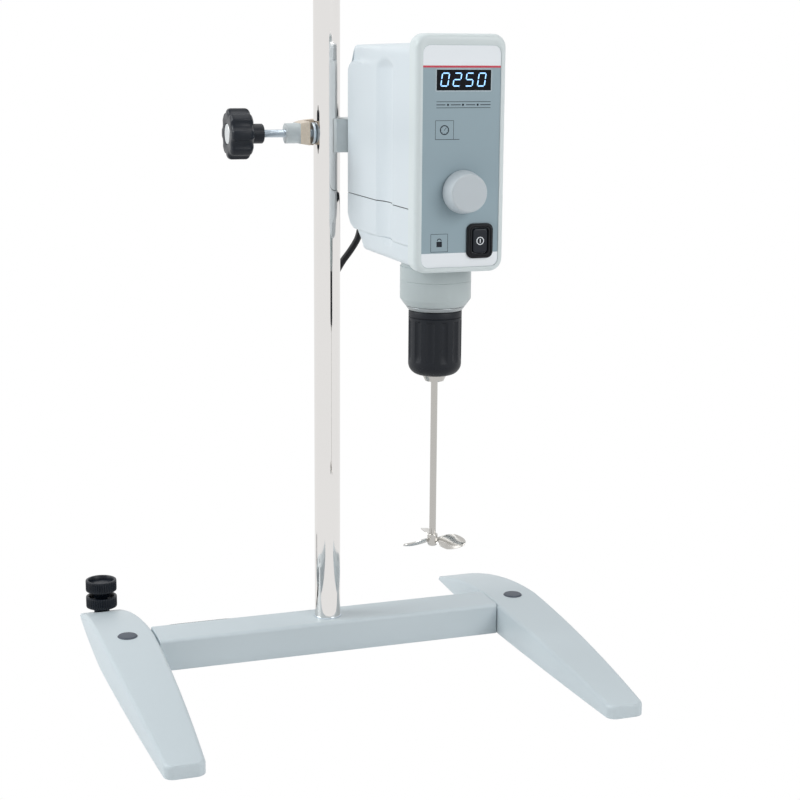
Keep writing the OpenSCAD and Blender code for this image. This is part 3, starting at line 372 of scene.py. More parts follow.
def finish_of(name, rgb, rough=0.4, metal=0.0, mottle=(18.0, 0.04), grain=(1500.0, 0.15, 0.0001),
              stretch=(1.0, 1.0, 1.0), glow=None, specular=0.5):
    """A material: mottled colour and gloss, a fine grain, and a glow where it is lit from within."""
    material = bpy.data.materials.new(name)
    material.use_nodes = True
    tree = material.node_tree
    shader = tree.nodes["Principled BSDF"]
    shader.inputs["Metallic"].default_value = metal
    shader.inputs["Specular IOR Level"].default_value = specular
    colour = tree.nodes.new("ShaderNodeGroup")
    colour.node_tree = MOTTLE
    colour.inputs["Color"].default_value = linear(*rgb)
    colour.inputs["Scale"].default_value = mottle[0]
    colour.inputs["Amount"].default_value = mottle[1]
    colour.inputs["Gloss"].default_value = rough
    skin = tree.nodes.new("ShaderNodeGroup")
    skin.node_tree = GRAIN
    skin.inputs["Scale"].default_value = grain[0]
    skin.inputs["Strength"].default_value = grain[1]
    skin.inputs["Depth"].default_value = grain[2]
    skin.inputs["Stretch"].default_value = stretch
    tree.links.new(colour.outputs["Color"], shader.inputs["Base Color"])
    tree.links.new(colour.outputs["Roughness"], shader.inputs["Roughness"])
    tree.links.new(skin.outputs["Normal"], shader.inputs["Normal"])
    if glow:
        shader.inputs["Emission Color"].default_value = linear(*rgb)
        shader.inputs["Emission Strength"].default_value = glow
    return material


CASE_GRAIN = (3200, 0.12, 0.0001)
FILM_GRAIN = (4200, 0.1, 0.00008)
FILM_MOTTLE = (16, 0.02)
DARK_MOTTLE = (30, 0.15)
DARK_GLOSS = 0.28

STAND_PAINT = finish_of("stand_paint", (201, 212, 217), 0.42, grain=(2600, 0.25, 0.00015), mottle=(9, 0.03))
CASING = finish_of("casing", (212, 221, 226), 0.38, grain=CASE_GRAIN, mottle=(11, 0.02))
BEZEL = finish_of("bezel", (213, 222, 223), 0.36, grain=CASE_GRAIN, mottle=(11, 0.02))
NECK_PAINT = finish_of("neck_paint", (180, 190, 191), 0.42, grain=(3000, 0.15, 0.0001), mottle=(14, 0.03))
RING_PAINT = finish_of("ring_metal", (160, 166, 168), 0.35, metal=0.6, stretch=(1, 1, 40),
                       grain=(260, 0.1, 0.0001))
CLAMP_PAINT = finish_of("clamp_paint", (200, 208, 210), 0.4, grain=(2200, 0.3, 0.0002), mottle=(12, 0.04))
OVERLAY = finish_of("overlay_film", (146, 166, 175), 0.46, grain=FILM_GRAIN, mottle=FILM_MOTTLE)
WHITE_PRINT = finish_of("white_print", (238, 243, 247), 0.44, grain=FILM_GRAIN, mottle=FILM_MOTTLE)
RED_PRINT = finish_of("red_print", (196, 50, 72), 0.42, grain=FILM_GRAIN)
DARK_PRINT = finish_of("dark_print", (26, 32, 40), 0.5, grain=FILM_GRAIN, specular=0.2)
WINDOW_EDGE = finish_of("window_edge", (176, 190, 197), 0.4, grain=FILM_GRAIN)
LENS = finish_of("display_lens", (5, 6, 13), 0.22, grain=(60, 0.02, 0.0001), specular=0.12)
SEGMENT = finish_of("lit_segment", (150, 202, 255), 0.3, glow=1.15, mottle=(300, 0.1))
GHOST = finish_of("unlit_segment", (12, 15, 28), 0.25, mottle=(300, 0.1), specular=0.12)
KNOB = finish_of("knob_plastic", (192, 200, 205), 0.48, grain=(3600, 0.2, 0.0001), mottle=(20, 0.03))
KNOB_FACE = finish_of("knob_face", (146, 156, 165), 0.42, grain=(3600, 0.12, 0.0001), mottle=(20, 0.03))
BLACK = finish_of("black_plastic", (14, 21, 31), 0.36, grain=(2400, 0.3, 0.00015), mottle=DARK_MOTTLE,
                  specular=DARK_GLOSS)
SLEEVE = finish_of("sleeve_plastic", (11, 17, 25), 0.46, grain=(2800, 0.3, 0.00012), mottle=DARK_MOTTLE,
                   specular=DARK_GLOSS)
RUBBER = finish_of("rubber", (15, 18, 23), 0.6, grain=(2400, 0.4, 0.00015), mottle=(40, 0.2),
                   specular=DARK_GLOSS)
CORD = finish_of("cord_sheath", (26, 27, 30), 0.5, grain=(2200, 0.3, 0.0001), mottle=(40, 0.2),
                 specular=DARK_GLOSS)
PLUG_GREY = finish_of("cap_plug", (66, 74, 86), 0.5, grain=(2600, 0.3, 0.00012), mottle=(40, 0.1))
CHROME = finish_of("chrome", (226, 224, 222), 0.06, metal=1.0, mottle=(6, 0.03), grain=(30, 0.03, 0.0002))
STEEL = finish_of("steel", (186, 184, 180), 0.15, metal=1.0, grain=(300, 0.12, 0.0001), stretch=(1, 1, 12))
ZINC = finish_of("zinc", (186, 196, 204), 0.3, metal=1.0, grain=(900, 0.3, 0.0001), mottle=(160, 0.12))
ALUMINIUM = finish_of("aluminium", (214, 218, 220), 0.32, metal=0.9, grain=(700, 0.2, 0.0001),
                      stretch=(1, 8, 1))
BRASS = finish_of("brass", (205, 176, 110), 0.28, metal=1.0, grain=(600, 0.2, 0.0001), stretch=(1, 8, 8))
MOTOR_STEEL = finish_of("motor_steel", (60, 62, 66), 0.4, metal=0.5, grain=(900, 0.2, 0.0001))
BOARD = finish_of("circuit_board", (26, 92, 58), 0.35, mottle=(240, 0.5), grain=(900, 0.3, 0.0002))
JAW_START = -0.0300
JAW_END = -0.0035
JAW_EDGE = 0.0003
JAW_METAL = (205, 192, 176)


def machined(material, start, end, rgb):
    """Leaves the paint off a casting between two places along X, in metres, down to its turned metal."""
    tree = material.node_tree
    shader = tree.nodes["Principled BSDF"]
    link = tree.links.new
    paint = shader.inputs["Base Color"].links[0].from_socket
    metal = tree.nodes.new("ShaderNodeGroup")
    metal.node_tree = MOTTLE
    metal.inputs["Color"].default_value = linear(*rgb)
    metal.inputs["Scale"].default_value = 700.0
    metal.inputs["Amount"].default_value = 0.3
    place = tree.nodes.new("ShaderNodeTexCoord")
    along = tree.nodes.new("ShaderNodeSeparateXYZ")
    enter = tree.nodes.new("ShaderNodeMapRange")
    enter.inputs["From Min"].default_value = start
    enter.inputs["From Max"].default_value = start + JAW_EDGE
    leave = tree.nodes.new("ShaderNodeMapRange")
    leave.inputs["From Min"].default_value = end
    leave.inputs["From Max"].default_value = end - JAW_EDGE
    bare = tree.nodes.new("ShaderNodeMath")
    bare.operation = "MULTIPLY"
    mix = tree.nodes.new("ShaderNodeMix")
    mix.data_type = "RGBA"
    link(place.outputs["Object"], along.inputs["Vector"])
    link(along.outputs["X"], enter.inputs["Value"])
    link(along.outputs["X"], leave.inputs["Value"])
    link(enter.outputs["Result"], bare.inputs[0])
    link(leave.outputs["Result"], bare.inputs[1])
    link(bare.outputs[0], mix.inputs["Factor"])
    link(paint, mix.inputs["A"])
    link(metal.outputs["Color"], mix.inputs["B"])
    link(mix.outputs["Result"], shader.inputs["Base Color"])
    link(bare.outputs[0], shader.inputs["Metallic"])


machined(CLAMP_PAINT, JAW_START, JAW_END, JAW_METAL)

# ---------------------------------------------------------------- cord

CORD_D = 7.0
REST_Z = 3.7
CORD_ROUTE = [
    (58, 7.5, 475.5), (58, 14, 475.1), (57, 27, 470), (54, 37, 459), (50.5, 42, 446),
    (46.5, 42.5, 431), (38.5, 42, 418.5), (29.3, 42, 406.6), (21, 42, 392), (15.5, 42, 375),
    (13, 42.5, 355), (12.5, 44, 330), (13, 47, 290), (14.5, 52, 240), (16.5, 57, 190), (18.5, 62, 140),
    (20, 67, 95), (20.5, 70, 65), (20.5, 71, 48), (20.5, 71.5, 34.6), (18.1, 72, 22.7), (11.4, 72.6, 12.7),
    (1.4, 73.6, 6), (-10.5, 75.9, 3.7), (-25, 80, 3.7), (-38, 84, 3.7), (-48, 86.4, 3.7), (-57, 87.5, 3.7),
]
HANK_LEFT = -181.0
HANK_RIGHT = -61.0
HANK_FRONT = 26.5
HANK_REAR = 91.0
HANK_END = 31.5
HANK_TOP_IN = 1.5
HANK_NEST = 0.16
TIE_RINGS = ((-131.0, 0.3), (-130.6, 0.8), (-119.4, 0.8), (-119.0, 0.3))
PLUG_Y = 38.5
PLUG_NECK_Z = 10.0
PLUG_NECK_X = -57.0


def smooth_way(points, per=4):
    """Points on a smooth curve through the route."""
    p = [Vector(q) for q in points]
    out = []
    for i in range(len(p) - 1):
        a, b, c, d = p[max(0, i - 1)], p[i], p[i + 1], p[min(len(p) - 1, i + 2)]
        for k in range(per):
            f = k / per
            out.append(0.5 * (2 * b + (c - a) * f + (2 * a - 5 * b + 4 * c - d) * f * f
                              + (3 * b - a - 3 * c + d) * f ** 3))
    out.append(p[-1])
    return out


def fold(x, side, y0, y1, z0, z1, steps=14):
    """Half a turn at one end of the hank, from the run at y0 to the run at y1."""
    middle, r = (y0 + y1) / 2, abs(y1 - y0) / 2
    turn = -1 if y1 < y0 else 1
    out = []
    for i in range(steps + 1):
        a = math.pi * i / steps
        lift = math.sin(a / 2)
        out.append(Vector((x + side * r * math.sin(a), middle - turn * r * math.cos(a),
                           z0 + (z1 - z0) * lift)))
    return out


def hank_way():
    """The hank: an outer and an inner turn on the floor, and a third on top that leads to the plug."""
    low, high = REST_Z, REST_Z + CORD_D
    front, rear = HANK_FRONT + CORD_D / 2, HANK_REAR - CORD_D / 2
    inner_front, inner_rear = front + CORD_D, rear - CORD_D
    top_rear, nested = rear - CORD_D - HANK_TOP_IN, high - HANK_NEST
    left, right = HANK_LEFT + HANK_END, HANK_RIGHT - HANK_END
    return (
        fold(left, -1, rear, front, low, low)
        + fold(right, 1, front, inner_rear, low, low)
        + fold(left, -1, inner_rear, inner_front, low, low)
        + fold(right, 1, inner_front, top_rear, low, nested)
        + fold(left, -1, top_rear, inner_front, nested, high)
        + [Vector((right, inner_front + 0.2, high)), Vector((right + 14, inner_front + 1.1, high)),
           Vector((right + 26, PLUG_Y, high - 0.3)), Vector((PLUG_NECK_X, PLUG_Y, PLUG_NECK_Z))]
    )


def tube(way, r, steps=14):
    """Rings of a round tube along the way, turned no more than the way turns."""
    rings = []
    side = Vector((1.0, 0.0, 0.0))
    for k, p in enumerate(way):
        ahead = (way[min(k + 1, len(way) - 1)] - way[max(k - 1, 0)]).normalized()
        side = (side - ahead * side.dot(ahead)).normalized()
        over = ahead.cross(side)
        rings.append([tuple(p + side * (r * math.cos(a)) + over * (r * math.sin(a)))
                      for a in (2 * math.pi * i / steps for i in range(steps))])
    return rings


def mains_cord():
    """The mains cord, one sweep from the gland through the hank to the plug."""
    line = smooth_way(CORD_ROUTE) + hank_way()
    way = line[:1] + [p for last, p in zip(line, line[1:]) if (p - last).length > 0.01]
    cord = Shape(ROD)
    cord.loft(tube(way, CORD_D / 2))
    piece = cord.build("mains_cord", None, [CORD], ("cord_drop", "cord_hank"), sharp=60)
    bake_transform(piece)


def hank_tie():
    """The strap round the three front runs of the hank."""
    front = HANK_FRONT + CORD_D / 2
    corners = ((front, REST_Z, 135, 270), (front + CORD_D, REST_Z, 270, 360),
               (front + CORD_D, REST_Z + CORD_D, 0, 135))
    rings = []
    for x, wide in TIE_RINGS:
        ring = []
        for y, z, start, end in corners:
            for k in range(9):
                a = math.radians(start + (end - start) * k / 8)
                r = CORD_D / 2 + wide
                ring.append((x, y + r * math.cos(a), max(0.05, z + r * math.sin(a))))
        rings.append(ring)
    strap = Shape(ROD)
    strap.loft(rings, start=False, end=False)
    return strap.build("hank_tie", "stand", [BLACK])


mains_cord()
hank_tie()

# ---------------------------------------------------------------- stand

LEG_HALF_W = 28.5
LEG_FRONT_HALF_W = 18.5
LEG_REAR_HALF_W = 23.0
LEG_FRONT = ROD[1] - low_of("right_leg", 1)
LEG_REAR = high_of("right_leg", 1) - ROD[1]
LEG_FRONT_H = 14.5
LEG_TOE_H = 3.5
LEG_EDGE_R = 4.0
LEG_CORNER_R = 8.0
FOOT_H = 1.5
CROSSBAR_D = 48.0
CROSSBAR_GAP = 0.4
ROD_R = 13.5
KNURL_R = 17.0
KNURLS = 40
KNURL_DEPTH = 0.95


def leg_half_width(y):
    """Half the width of a leg at y, with its rounded end corners."""
    if y < 0:
        s = -y / LEG_FRONT
        half = LEG_HALF_W - (LEG_HALF_W - LEG_FRONT_HALF_W) * (0.5 * s + 0.5 * s * s)
    else:
        s = y / LEG_REAR
        half = LEG_HALF_W - (LEG_HALF_W - LEG_REAR_HALF_W) * (0.3 * s + 0.7 * s * s)
    for d in (y + LEG_FRONT, LEG_REAR - y):
        if d < LEG_CORNER_R:
            half -= LEG_CORNER_R - math.sqrt(max(0.0, LEG_CORNER_R ** 2 - (LEG_CORNER_R - d) ** 2))
    return half


def leg_top(y):
    """Height of a leg's back at y."""
    if y < 0:
        s = -y / LEG_FRONT
        return BASE_H - (BASE_H - LEG_FRONT_H) * (0.25 * s + 0.75 * s * s)
    s = y / LEG_REAR
    return BASE_H - (BASE_H - LEG_TOE_H) * (0.13 * s + 0.87 * s * s)


def bar_section(half, h, r):
    """Section of a leg or of the crossbar, with soft upper edges."""
    under = 0.8
    return (
        arc(-half + under, FOOT_H + under, under, 180, 270, 3)
        + arc(half - under, FOOT_H + under, under, -90, 0, 3)
        + arc(half - r, h - r, r, 0, 90, 10)
        + arc(r - half, h - r, r, 90, 180, 10)
    )


def leg(side, node, name):
    """One cast leg, lofted along its length."""
    stations = [-LEG_FRONT + LEG_CORNER_R * (1 - math.sin(math.radians(a))) for a in range(90, -1, -9)]
    stations += [-LEG_FRONT + LEG_CORNER_R + (LEG_FRONT - LEG_CORNER_R) * i / 44 for i in range(1, 45)]
    stations += [(LEG_REAR - LEG_CORNER_R) * i / 32 for i in range(1, 32)]
    stations += [LEG_REAR - LEG_CORNER_R * (1 - math.sin(math.radians(a))) for a in range(0, 91, 9)]
    shape = Shape((side * LEG_X, ROD[1], 0))
    rings = []
    for y in stations:
        h = leg_top(y)
        r = min(LEG_EDGE_R, (h - FOOT_H) * 0.6)
        rings.append([(x, y, z) for x, z in bar_section(leg_half_width(y), h, r)])
    shape.loft(rings)
    return shape.build(name, "stand", [STAND_PAINT], (node,), sharp=50)


def crossbar():
    """Cast bar between the legs."""
    half = LEG_X - LEG_HALF_W - CROSSBAR_GAP
    shape = Shape(ROD)
    section = bar_section(CROSSBAR_D / 2, BASE_H, LEG_EDGE_R)
    shape.loft([[(x, y, z) for y, z in section] for x in (-half, half)])
    shape.build("crossbar_casting", "stand", [STAND_PAINT], ("crossbar",), bevel=0.4)


def leg_plugs():
    """Round plugs over the bolts in the legs."""
    for side in (-1, 1):
        shape = Shape((side * LEG_X, ROD[1], BASE_H))
        shape.spin([(0.0, -1.0), (10.2, -1.0), (10.2, 0.06), (9.7, 0.3), (9.5, 0.8)]
                   + [(9.5 - 1.2 * (1 - math.cos(math.radians(a))), 0.8 + 0.5 * math.sin(math.radians(a)))
                      for a in (30, 60, 90)] + [(4.0, 1.4), (0.0, 1.42)])
        name = "left" if side < 0 else "right"
        shape.build(f"leg_plug_{name}", "stand", [PLUG_GREY],
                    ("leg_cap_plugs",) if side > 0 else ())


def stand_rod():
    """Chromed rod, and the ring at its seat on the crossbar."""
    r = ROD_R
    top = high_of("stand_rod", 2)
    shape = Shape(ROD)
    shape.spin([(0.0, BASE_H - 0.5), (r, BASE_H - 0.5), (r, top - 0.3), (r - 0.3, top), (0.0, top)],
               steps=160)
    shape.build("rod_tube", "stand", [CHROME], ("stand_rod",))
    collar = Shape((ROD[0], ROD[1], BASE_H))
    collar.spin([(0.0, 0.0), (14.6, 0.0), (14.6, 0.5), (14.1, 1.0), (0.0, 1.0)], steps=96)
    collar.build("rod_seat_ring", "stand", [ZINC])


def levelling_knob(name, body, node, z0, height, neck, bore=0.0):
    """Knurled knob with a dished top, a rim on each side and a plain neck."""
    def knurl(a, r, h):
        inside = smoothstep(0.6, 1.6, h - z0) * smoothstep(0.6, 1.6, z0 + height - h)
        return -KNURL_DEPTH * inside * (0.5 - 0.5 * math.cos(KNURLS * a)) if r > 15 else 0.0
    shape = Shape(LEVEL)
    rise = [(KNURL_R - 1.2, z0), (16.8, z0 + 0.5), (KNURL_R, z0 + 1.0)]
    side = [(KNURL_R, z0 + 1.0 + (height - 2.0) * i / 8) for i in range(1, 9)]
    lip = [(16.8, z0 + height - 0.4), (16.2, z0 + height), (14.4, z0 + height), (13.9, z0 + height - 0.6),
           (13.3, z0 + height - 4.4), (8.4, z0 + height - 4.8), (8.0, z0 + height - 3.6),
           (bore, z0 + height - 3.4)]
    shape.spin([(bore, neck[0]), (neck[2] - 0.4, neck[0]), (neck[2], neck[0] + 0.4), (neck[2], neck[1])]
               + rise + side + lip + ([(bore, neck[0])] if bore else []), steps=320, swell=knurl)
    return shape.build(name, body, [BLACK], (node,), sharp=45)


def levelling_screw():
    """Lock nut, knurled head and threaded stem of the levelling screw."""
    nut_z, knob_h, neck_r = 14.0, 12.5, 8.5
    head_z = high_of("levelling_screw", 2) - knob_h
    levelling_knob("lock_nut", "lock_nut", "levelling_lock_nut", nut_z, knob_h, (6.6, nut_z, neck_r), 5.4)
    levelling_knob("screw_head", "level_screw", "levelling_screw", head_z, knob_h,
                   (head_z - 8.2, head_z, neck_r))
    screw = Shape(LEVEL)
    screw.spin(thread(2.0, head_z, 5.0, 1.5), steps=64)
    screw.build("screw_thread", "level_screw", [ZINC])


def thread(z0, z1, r, pitch, depth=0.45):
    """Profile of a screw whose crests stand a pitch apart."""
    out = [(0.0, z0), (r - depth, z0)]
    z = z0 + pitch / 2
    while z + pitch < z1:
        out += [(r - depth, z), (r, z + pitch * 0.35), (r, z + pitch * 0.5), (r - depth, z + pitch * 0.85)]
        z += pitch
    return out + [(r - depth, z1), (0.0, z1)]


leg(-1, "left_leg", "leg_left")
leg(1, "right_leg", "leg_right")
crossbar()
leg_plugs()
stand_rod()
levelling_screw()
dress("rod_end_cap", PLUG_GREY, 0.3)
dress("rubber_feet", RUBBER, 0.3)
dress("levelling_foot", RUBBER, 0.2)
dress("leg_bolts", ZINC, 0.2)
dress("rod_bolt", ZINC, 0.2)

# ---------------------------------------------------------------- clamp

STAR_R = 25.0
STAR_T = 23.0
STAR_LOBES = 8
HUB_IN = 52.7
HUB_OUT = 66.2
HUB_R = 9.75
ARM_X = HEAD[0] - ROD[0]
ARM_R = 8.0
STAR_STEPS = 192


def star_radius(a, edge):
    """Outline of a star knob at angle a, drawn in by edge: a circle with a round bite between lobes."""
    period = 2 * math.pi / STAR_LOBES
    away = period / 2 - abs((a + period / 2) % period - period / 2)
    bite_at, bite_r = STAR_R + 4.5, 7.5
    reach = bite_r ** 2 - (bite_at * math.sin(away)) ** 2
    bite = bite_at * math.cos(away) - math.sqrt(reach) if reach > 0 else STAR_R + 3.0
    soft = -math.log(math.exp(-2.0 * (STAR_R - 20)) + math.exp(-2.0 * (bite - 20))) / 2.0 + 20
    return soft - edge


def star_knob(side, name, body, nodes):
    """Eight-lobed clamping knob on its hub, with a plain metal disc in its face."""
    start = -ROD_R if side < 0 else ARM_X + ARM_R
    shape = Shape(CLAMP)

    def ring(h, edge):
        out = []
        for i in range(STAR_STEPS):
            a = 2 * math.pi * i / STAR_STEPS
            r = star_radius(a, edge)
            out.append((start + side * h, r * math.cos(a), r * math.sin(a)))
        return out

    def disc(h, r):
        return [(start + side * h, y, z) for y, z in circle(r, STAR_STEPS)]

    base, top = HUB_OUT, HUB_OUT + STAR_T
    hub = ((HUB_IN, HUB_R - 1.0), (HUB_IN + 1.0, HUB_R), (base - 0.6, HUB_R), (base, HUB_R + 0.8))
    back = ((base, 4.2), (base + 0.6, 3.0), (base + 1.8, 1.2), (base + 3.2, 0.3), (base + 4.5, 0.0))
    front = ((top - 4.0, 0.0), (top - 2.2, 0.5), (top - 1.0, 1.6), (top - 0.2, 3.4), (top, 5.0))
    dish = ((top, 11.2), (top - 0.3, 10.6), (top - 1.2, 10.4), (top - 2.0, 10.4))
    rings = [disc(h, r) for h, r in hub] + [ring(h, edge) for h, edge in back + front]
    rings += [disc(h, r) for h, r in dish]
    shape.loft(rings)
    shape.build(name, body, [BLACK], nodes[:1], sharp=40)
    cap = Shape(CLAMP)
    cap.loft([disc(top - 2.2, 10.0), disc(top - 0.6, 10.0), disc(top - 0.25, 9.6), disc(top - 0.2, 3.0)])
    cap.build(f"{name}_cap", body, [ALUMINIUM], nodes[1:2], sharp=40)
    screw = Shape(CLAMP)
    profile = thread(2.6, HUB_IN + 2, 4.0, 1.25, 0.4)
    screw.spin([(r, start + side * h) for r, h in profile], steps=64, axis="X")
    screw.build(f"{name}_screw", body, [ZINC], nodes[2:3], sharp=30)


star_knob(-1, "rod_knob", "rod_screw", ("rod_clamp_knob", "rod_clamp_cap", "rod_clamp_screw"))
star_knob(1, "arm_knob", "arm_screw", ("arm_clamp_knob", "arm_clamp_cap", "arm_clamp_screw"))
dress("clamp_body", CLAMP_PAINT, 0.7)
dress("rod_clamp_pad", ZINC, 0.3)
dress("arm_clamp_pad", ZINC, 0.3)
dress("extension_arm", STEEL, 0.0)

# ---------------------------------------------------------------- casing

PANEL_Y = low_of("front_bezel", 1) - HEAD[1]
SEAM_Y = high_of("front_bezel", 1) - HEAD[1]
BACK_Y = high_of("upper_cover", 1) - HEAD[1]
BEZEL_W = 86.0
BEZEL_H = 212.0
BEZEL_R = 12.0
BEZEL_EDGE = 5.0
HALF_W = 42.0
SPLIT_Z = 56.5
SPLIT_GAP = 0.42
CASE_H = 204.0
TOP_DROP = 2.6
SHOULDER_R = 13.0
SHOULDER_Z = 173.0
HEEL_R = 21.0
TRAY_Z = 22.0
TRAY_INSET = 3.0
TRAY_UNDER = 3.0
TRAY_RISES = ((43.0, 0.0), (40.5, 2.5), (25.5, 18.0), (24.6, 19.2))
VENTS = 6
COVER_SCREW_X = 27.0
COVER_SCREW_Z = (50.0, 160.0)
GLAND_Z = 47.0
GLAND_L = 25.0
OVERLAY_X = 0.5
OVERLAY_Z = 103.5
OVERLAY_W = 74.0
OVERLAY_H = 197.0
OVERLAY_R = 7.0
GROOVE_Y = 28.5
GROOVE_HALF = 23.5
GROOVE_DEPTH = 5.0
GROOVE_R = (GROOVE_HALF ** 2 + GROOVE_DEPTH ** 2) / (2 * GROOVE_DEPTH)
GROOVE_Z = (18.0, 182.0)
GROOVE_RUN = 8.0


def groove(y, z):
    """Depth of the finger groove in the casing's side."""
    past = max(GROOVE_Z[0] - z, z - GROOVE_Z[1], 0.0) / GROOVE_RUN
    if past >= 1.0:
        return 0.0
    r = GROOVE_R - GROOVE_DEPTH * past
    reach = r * r - (y - GROOVE_Y) ** 2
    return max(0.0, math.sqrt(max(0.0, reach)) - (GROOVE_R - GROOVE_DEPTH))


def case_top(y):
    """Height of the casing's roof at y: sloping to the rear, then the round shoulder."""
    step_y = BACK_Y - SHOULDER_R
    if y <= step_y:
        return CASE_H - TOP_DROP * (y - SEAM_Y) / (step_y - SEAM_Y)
    return SHOULDER_Z + math.sqrt(max(0.0, SHOULDER_R ** 2 - (y - step_y) ** 2))


def case_low(y):
    """Height of the casing's underside at y, round the heel."""
    heel_y = BACK_Y - HEEL_R
    if y <= heel_y:
        return TRAY_Z
    return TRAY_Z + HEEL_R - math.sqrt(max(0.0, HEEL_R ** 2 - (y - heel_y) ** 2))


def case_half(y, z):
    """Half the casing's width: the groove, the upper block's step and the soft rear edges."""
    block = smoothstep(184.5, 187.5, z) * TRAY_INSET * smoothstep(30, BACK_Y - SHOULDER_R, y)
    d = BACK_Y - y
    rear = 2.5 - math.sqrt(max(0.0, 2.5 ** 2 - (2.5 - d) ** 2)) if d < 2.5 else 0.0
    return HALF_W - groove(y, z) - block - rear


def case_ring(y, z0, z1, top_r, low_r):
    """Section of the casing across y, anticlockwise from its lower left."""
    levels = 64
    right = []
    for i in range(5):
        a = math.radians(-90 + 90 * i / 4)
        right.append((HALF_W - low_r + low_r * math.cos(a), z0 + low_r + low_r * math.sin(a)))
    for i in range(1, levels):
        right.append((HALF_W, z0 + low_r + (z1 - top_r - z0 - low_r) * i / levels))
    for i in range(9):
        a = math.radians(90 * i / 8)
        right.append((HALF_W - top_r + top_r * math.cos(a), z1 - top_r + top_r * math.sin(a)))
    out = []
    for x, z in right:
        out.append((x - (HALF_W - case_half(y, z)), y, z))
    return out + [(-x, y_, z) for x, y_, z in reversed(out)]


def case_stations(step_y):
    """Places along the casing's depth, closer where it bends."""
    out = [SEAM_Y + 0.15, SEAM_Y + 0.6]
    y = SEAM_Y + 4.0
    while y < 3.0:
        out.append(y)
        y += 5.0
    y = 3.0
    while y < 54.0:
        out.append(y)
        y += 1.25
    while y < step_y - 3:
        out.append(y)
        y += 5.0
    return out


def roof_radius(y):
    """Radius of the roof's side edges: wide at the front, crisp at the rear."""
    return 11.0 - 7.5 * smoothstep(SEAM_Y + 10, BACK_Y - SHOULDER_R, y)


def upper_cover():
    """Upper moulding of the casing, down to the joint between the covers."""
    step_y = BACK_Y - SHOULDER_R
    low = SPLIT_Z + SPLIT_GAP
    shape = Shape(HEAD)
    rings = [case_ring(y, low, case_top(y) - (0.6 if y < SEAM_Y + 0.3 else 0.0), roof_radius(y), 0.3)
             for y in case_stations(step_y)]
    rings.append(case_ring(step_y - 1.0, low, case_top(step_y - 1), roof_radius(step_y), 0.3))
    rings.append(case_ring(step_y - 0.3, low, case_top(step_y) - 0.3, roof_radius(step_y), 0.3))
    rings.append(case_ring(step_y, low, case_top(step_y) - 1.0, 3.0, 0.3))
    for i in range(13):
        y = step_y + SHOULDER_R * math.sin(math.radians(90 * i / 12))
        top = SHOULDER_Z + SHOULDER_R * math.cos(math.radians(90 * i / 12))
        rings.append(case_ring(y + 0.001, low, top, 3.0, 0.3))
    rings.append(case_ring(BACK_Y, low + 0.3, SHOULDER_Z - 2.0, 2.0, 0.3))
    shape.loft(rings)
    shape.build("upper_cover_shell", "head", [CASING], ("upper_cover",), sharp=38)


def lower_cover():
    """Lower moulding of the casing, with its round heel."""
    high = SPLIT_Z - SPLIT_GAP
    shape = Shape(HEAD)
    heel_y = BACK_Y - HEEL_R
    stations = case_stations(heel_y)
    stations += [heel_y + HEEL_R * math.sin(math.radians(90 * i / 14)) for i in range(14)]
    rings = [case_ring(y, case_low(y), high, 0.3, 3.0 if y > heel_y else 2.0) for y in stations]
    rings.append(case_ring(BACK_Y, TRAY_Z + HEEL_R, high - 0.3, 0.3, 2.0))
    shape.loft(rings)
    shape.build("lower_cover_shell", "head", [CASING], ("lower_cover",), sharp=38)


def underside_tray():
    """Shallow tray under the lower cover; black blocks as painted shade for its row of vents; and a black strip
    as painted shade in the covers' joint.
    """
    shape = Shape(HEAD)
    ends = [(SEAM_Y + 0.1, 0.0)] + [(BACK_Y - back, rise) for back, rise in TRAY_RISES]
    ys = []
    for (y0, h0), (y1, h1) in zip(ends, ends[1:]):
        n = max(2, int((y1 - y0) / 1.5))
        ys += [(y0 + (y1 - y0) * i / n, h0 + (h1 - h0) * i / n) for i in range(n)]
    rings = []
    for y, rise in ys + [ends[-1]]:
        z0, z1 = TRAY_UNDER + rise, TRAY_Z + 0.4
        r = min(6.0, (z1 - z0) * 0.45)
        ring = []
        for x, z in (arc(HALF_W - TRAY_INSET - r, z0 + r, r, -90, 0, 6)
                     + [(HALF_W - TRAY_INSET, z0 + r + (z1 - z0 - r) * i / 8) for i in range(1, 9)]):
            ring.append((min(x, HALF_W - groove(y, z)), y, z))
        rings.append(ring + [(-x, y_, z) for x, y_, z in reversed(ring)])
    shape.loft(rings)
    shape.build("underside_tray", "head", [CASING], sharp=40)
    # Black blocks on the tray's underside: painted shade standing for the vent openings.
    vents = Shape(HEAD)
    for i in range(VENTS):
        y = BACK_Y - 100 + i * 8
        vents.block((-18, y, TRAY_UNDER - 0.06), (18, y + 3, TRAY_UNDER + 1))
    vents.build("underside_vents", "head", [BLACK])
    # Black strip set into the gap between the covers: painted shade in the joint.
    seam = Shape(HEAD)
    rings = []
    for y in case_stations(BACK_Y - HEEL_R) + [BACK_Y - 1.5]:
        half = case_half(y, SPLIT_Z) - 0.7
        rings.append([(x, y, z) for x, z in ((-half, SPLIT_Z - 0.8), (half, SPLIT_Z - 0.8),
                                             (half, SPLIT_Z + 0.8), (-half, SPLIT_Z + 0.8))])
    seam.loft(rings)
    seam.build("cover_joint_strip", "head", [BLACK])


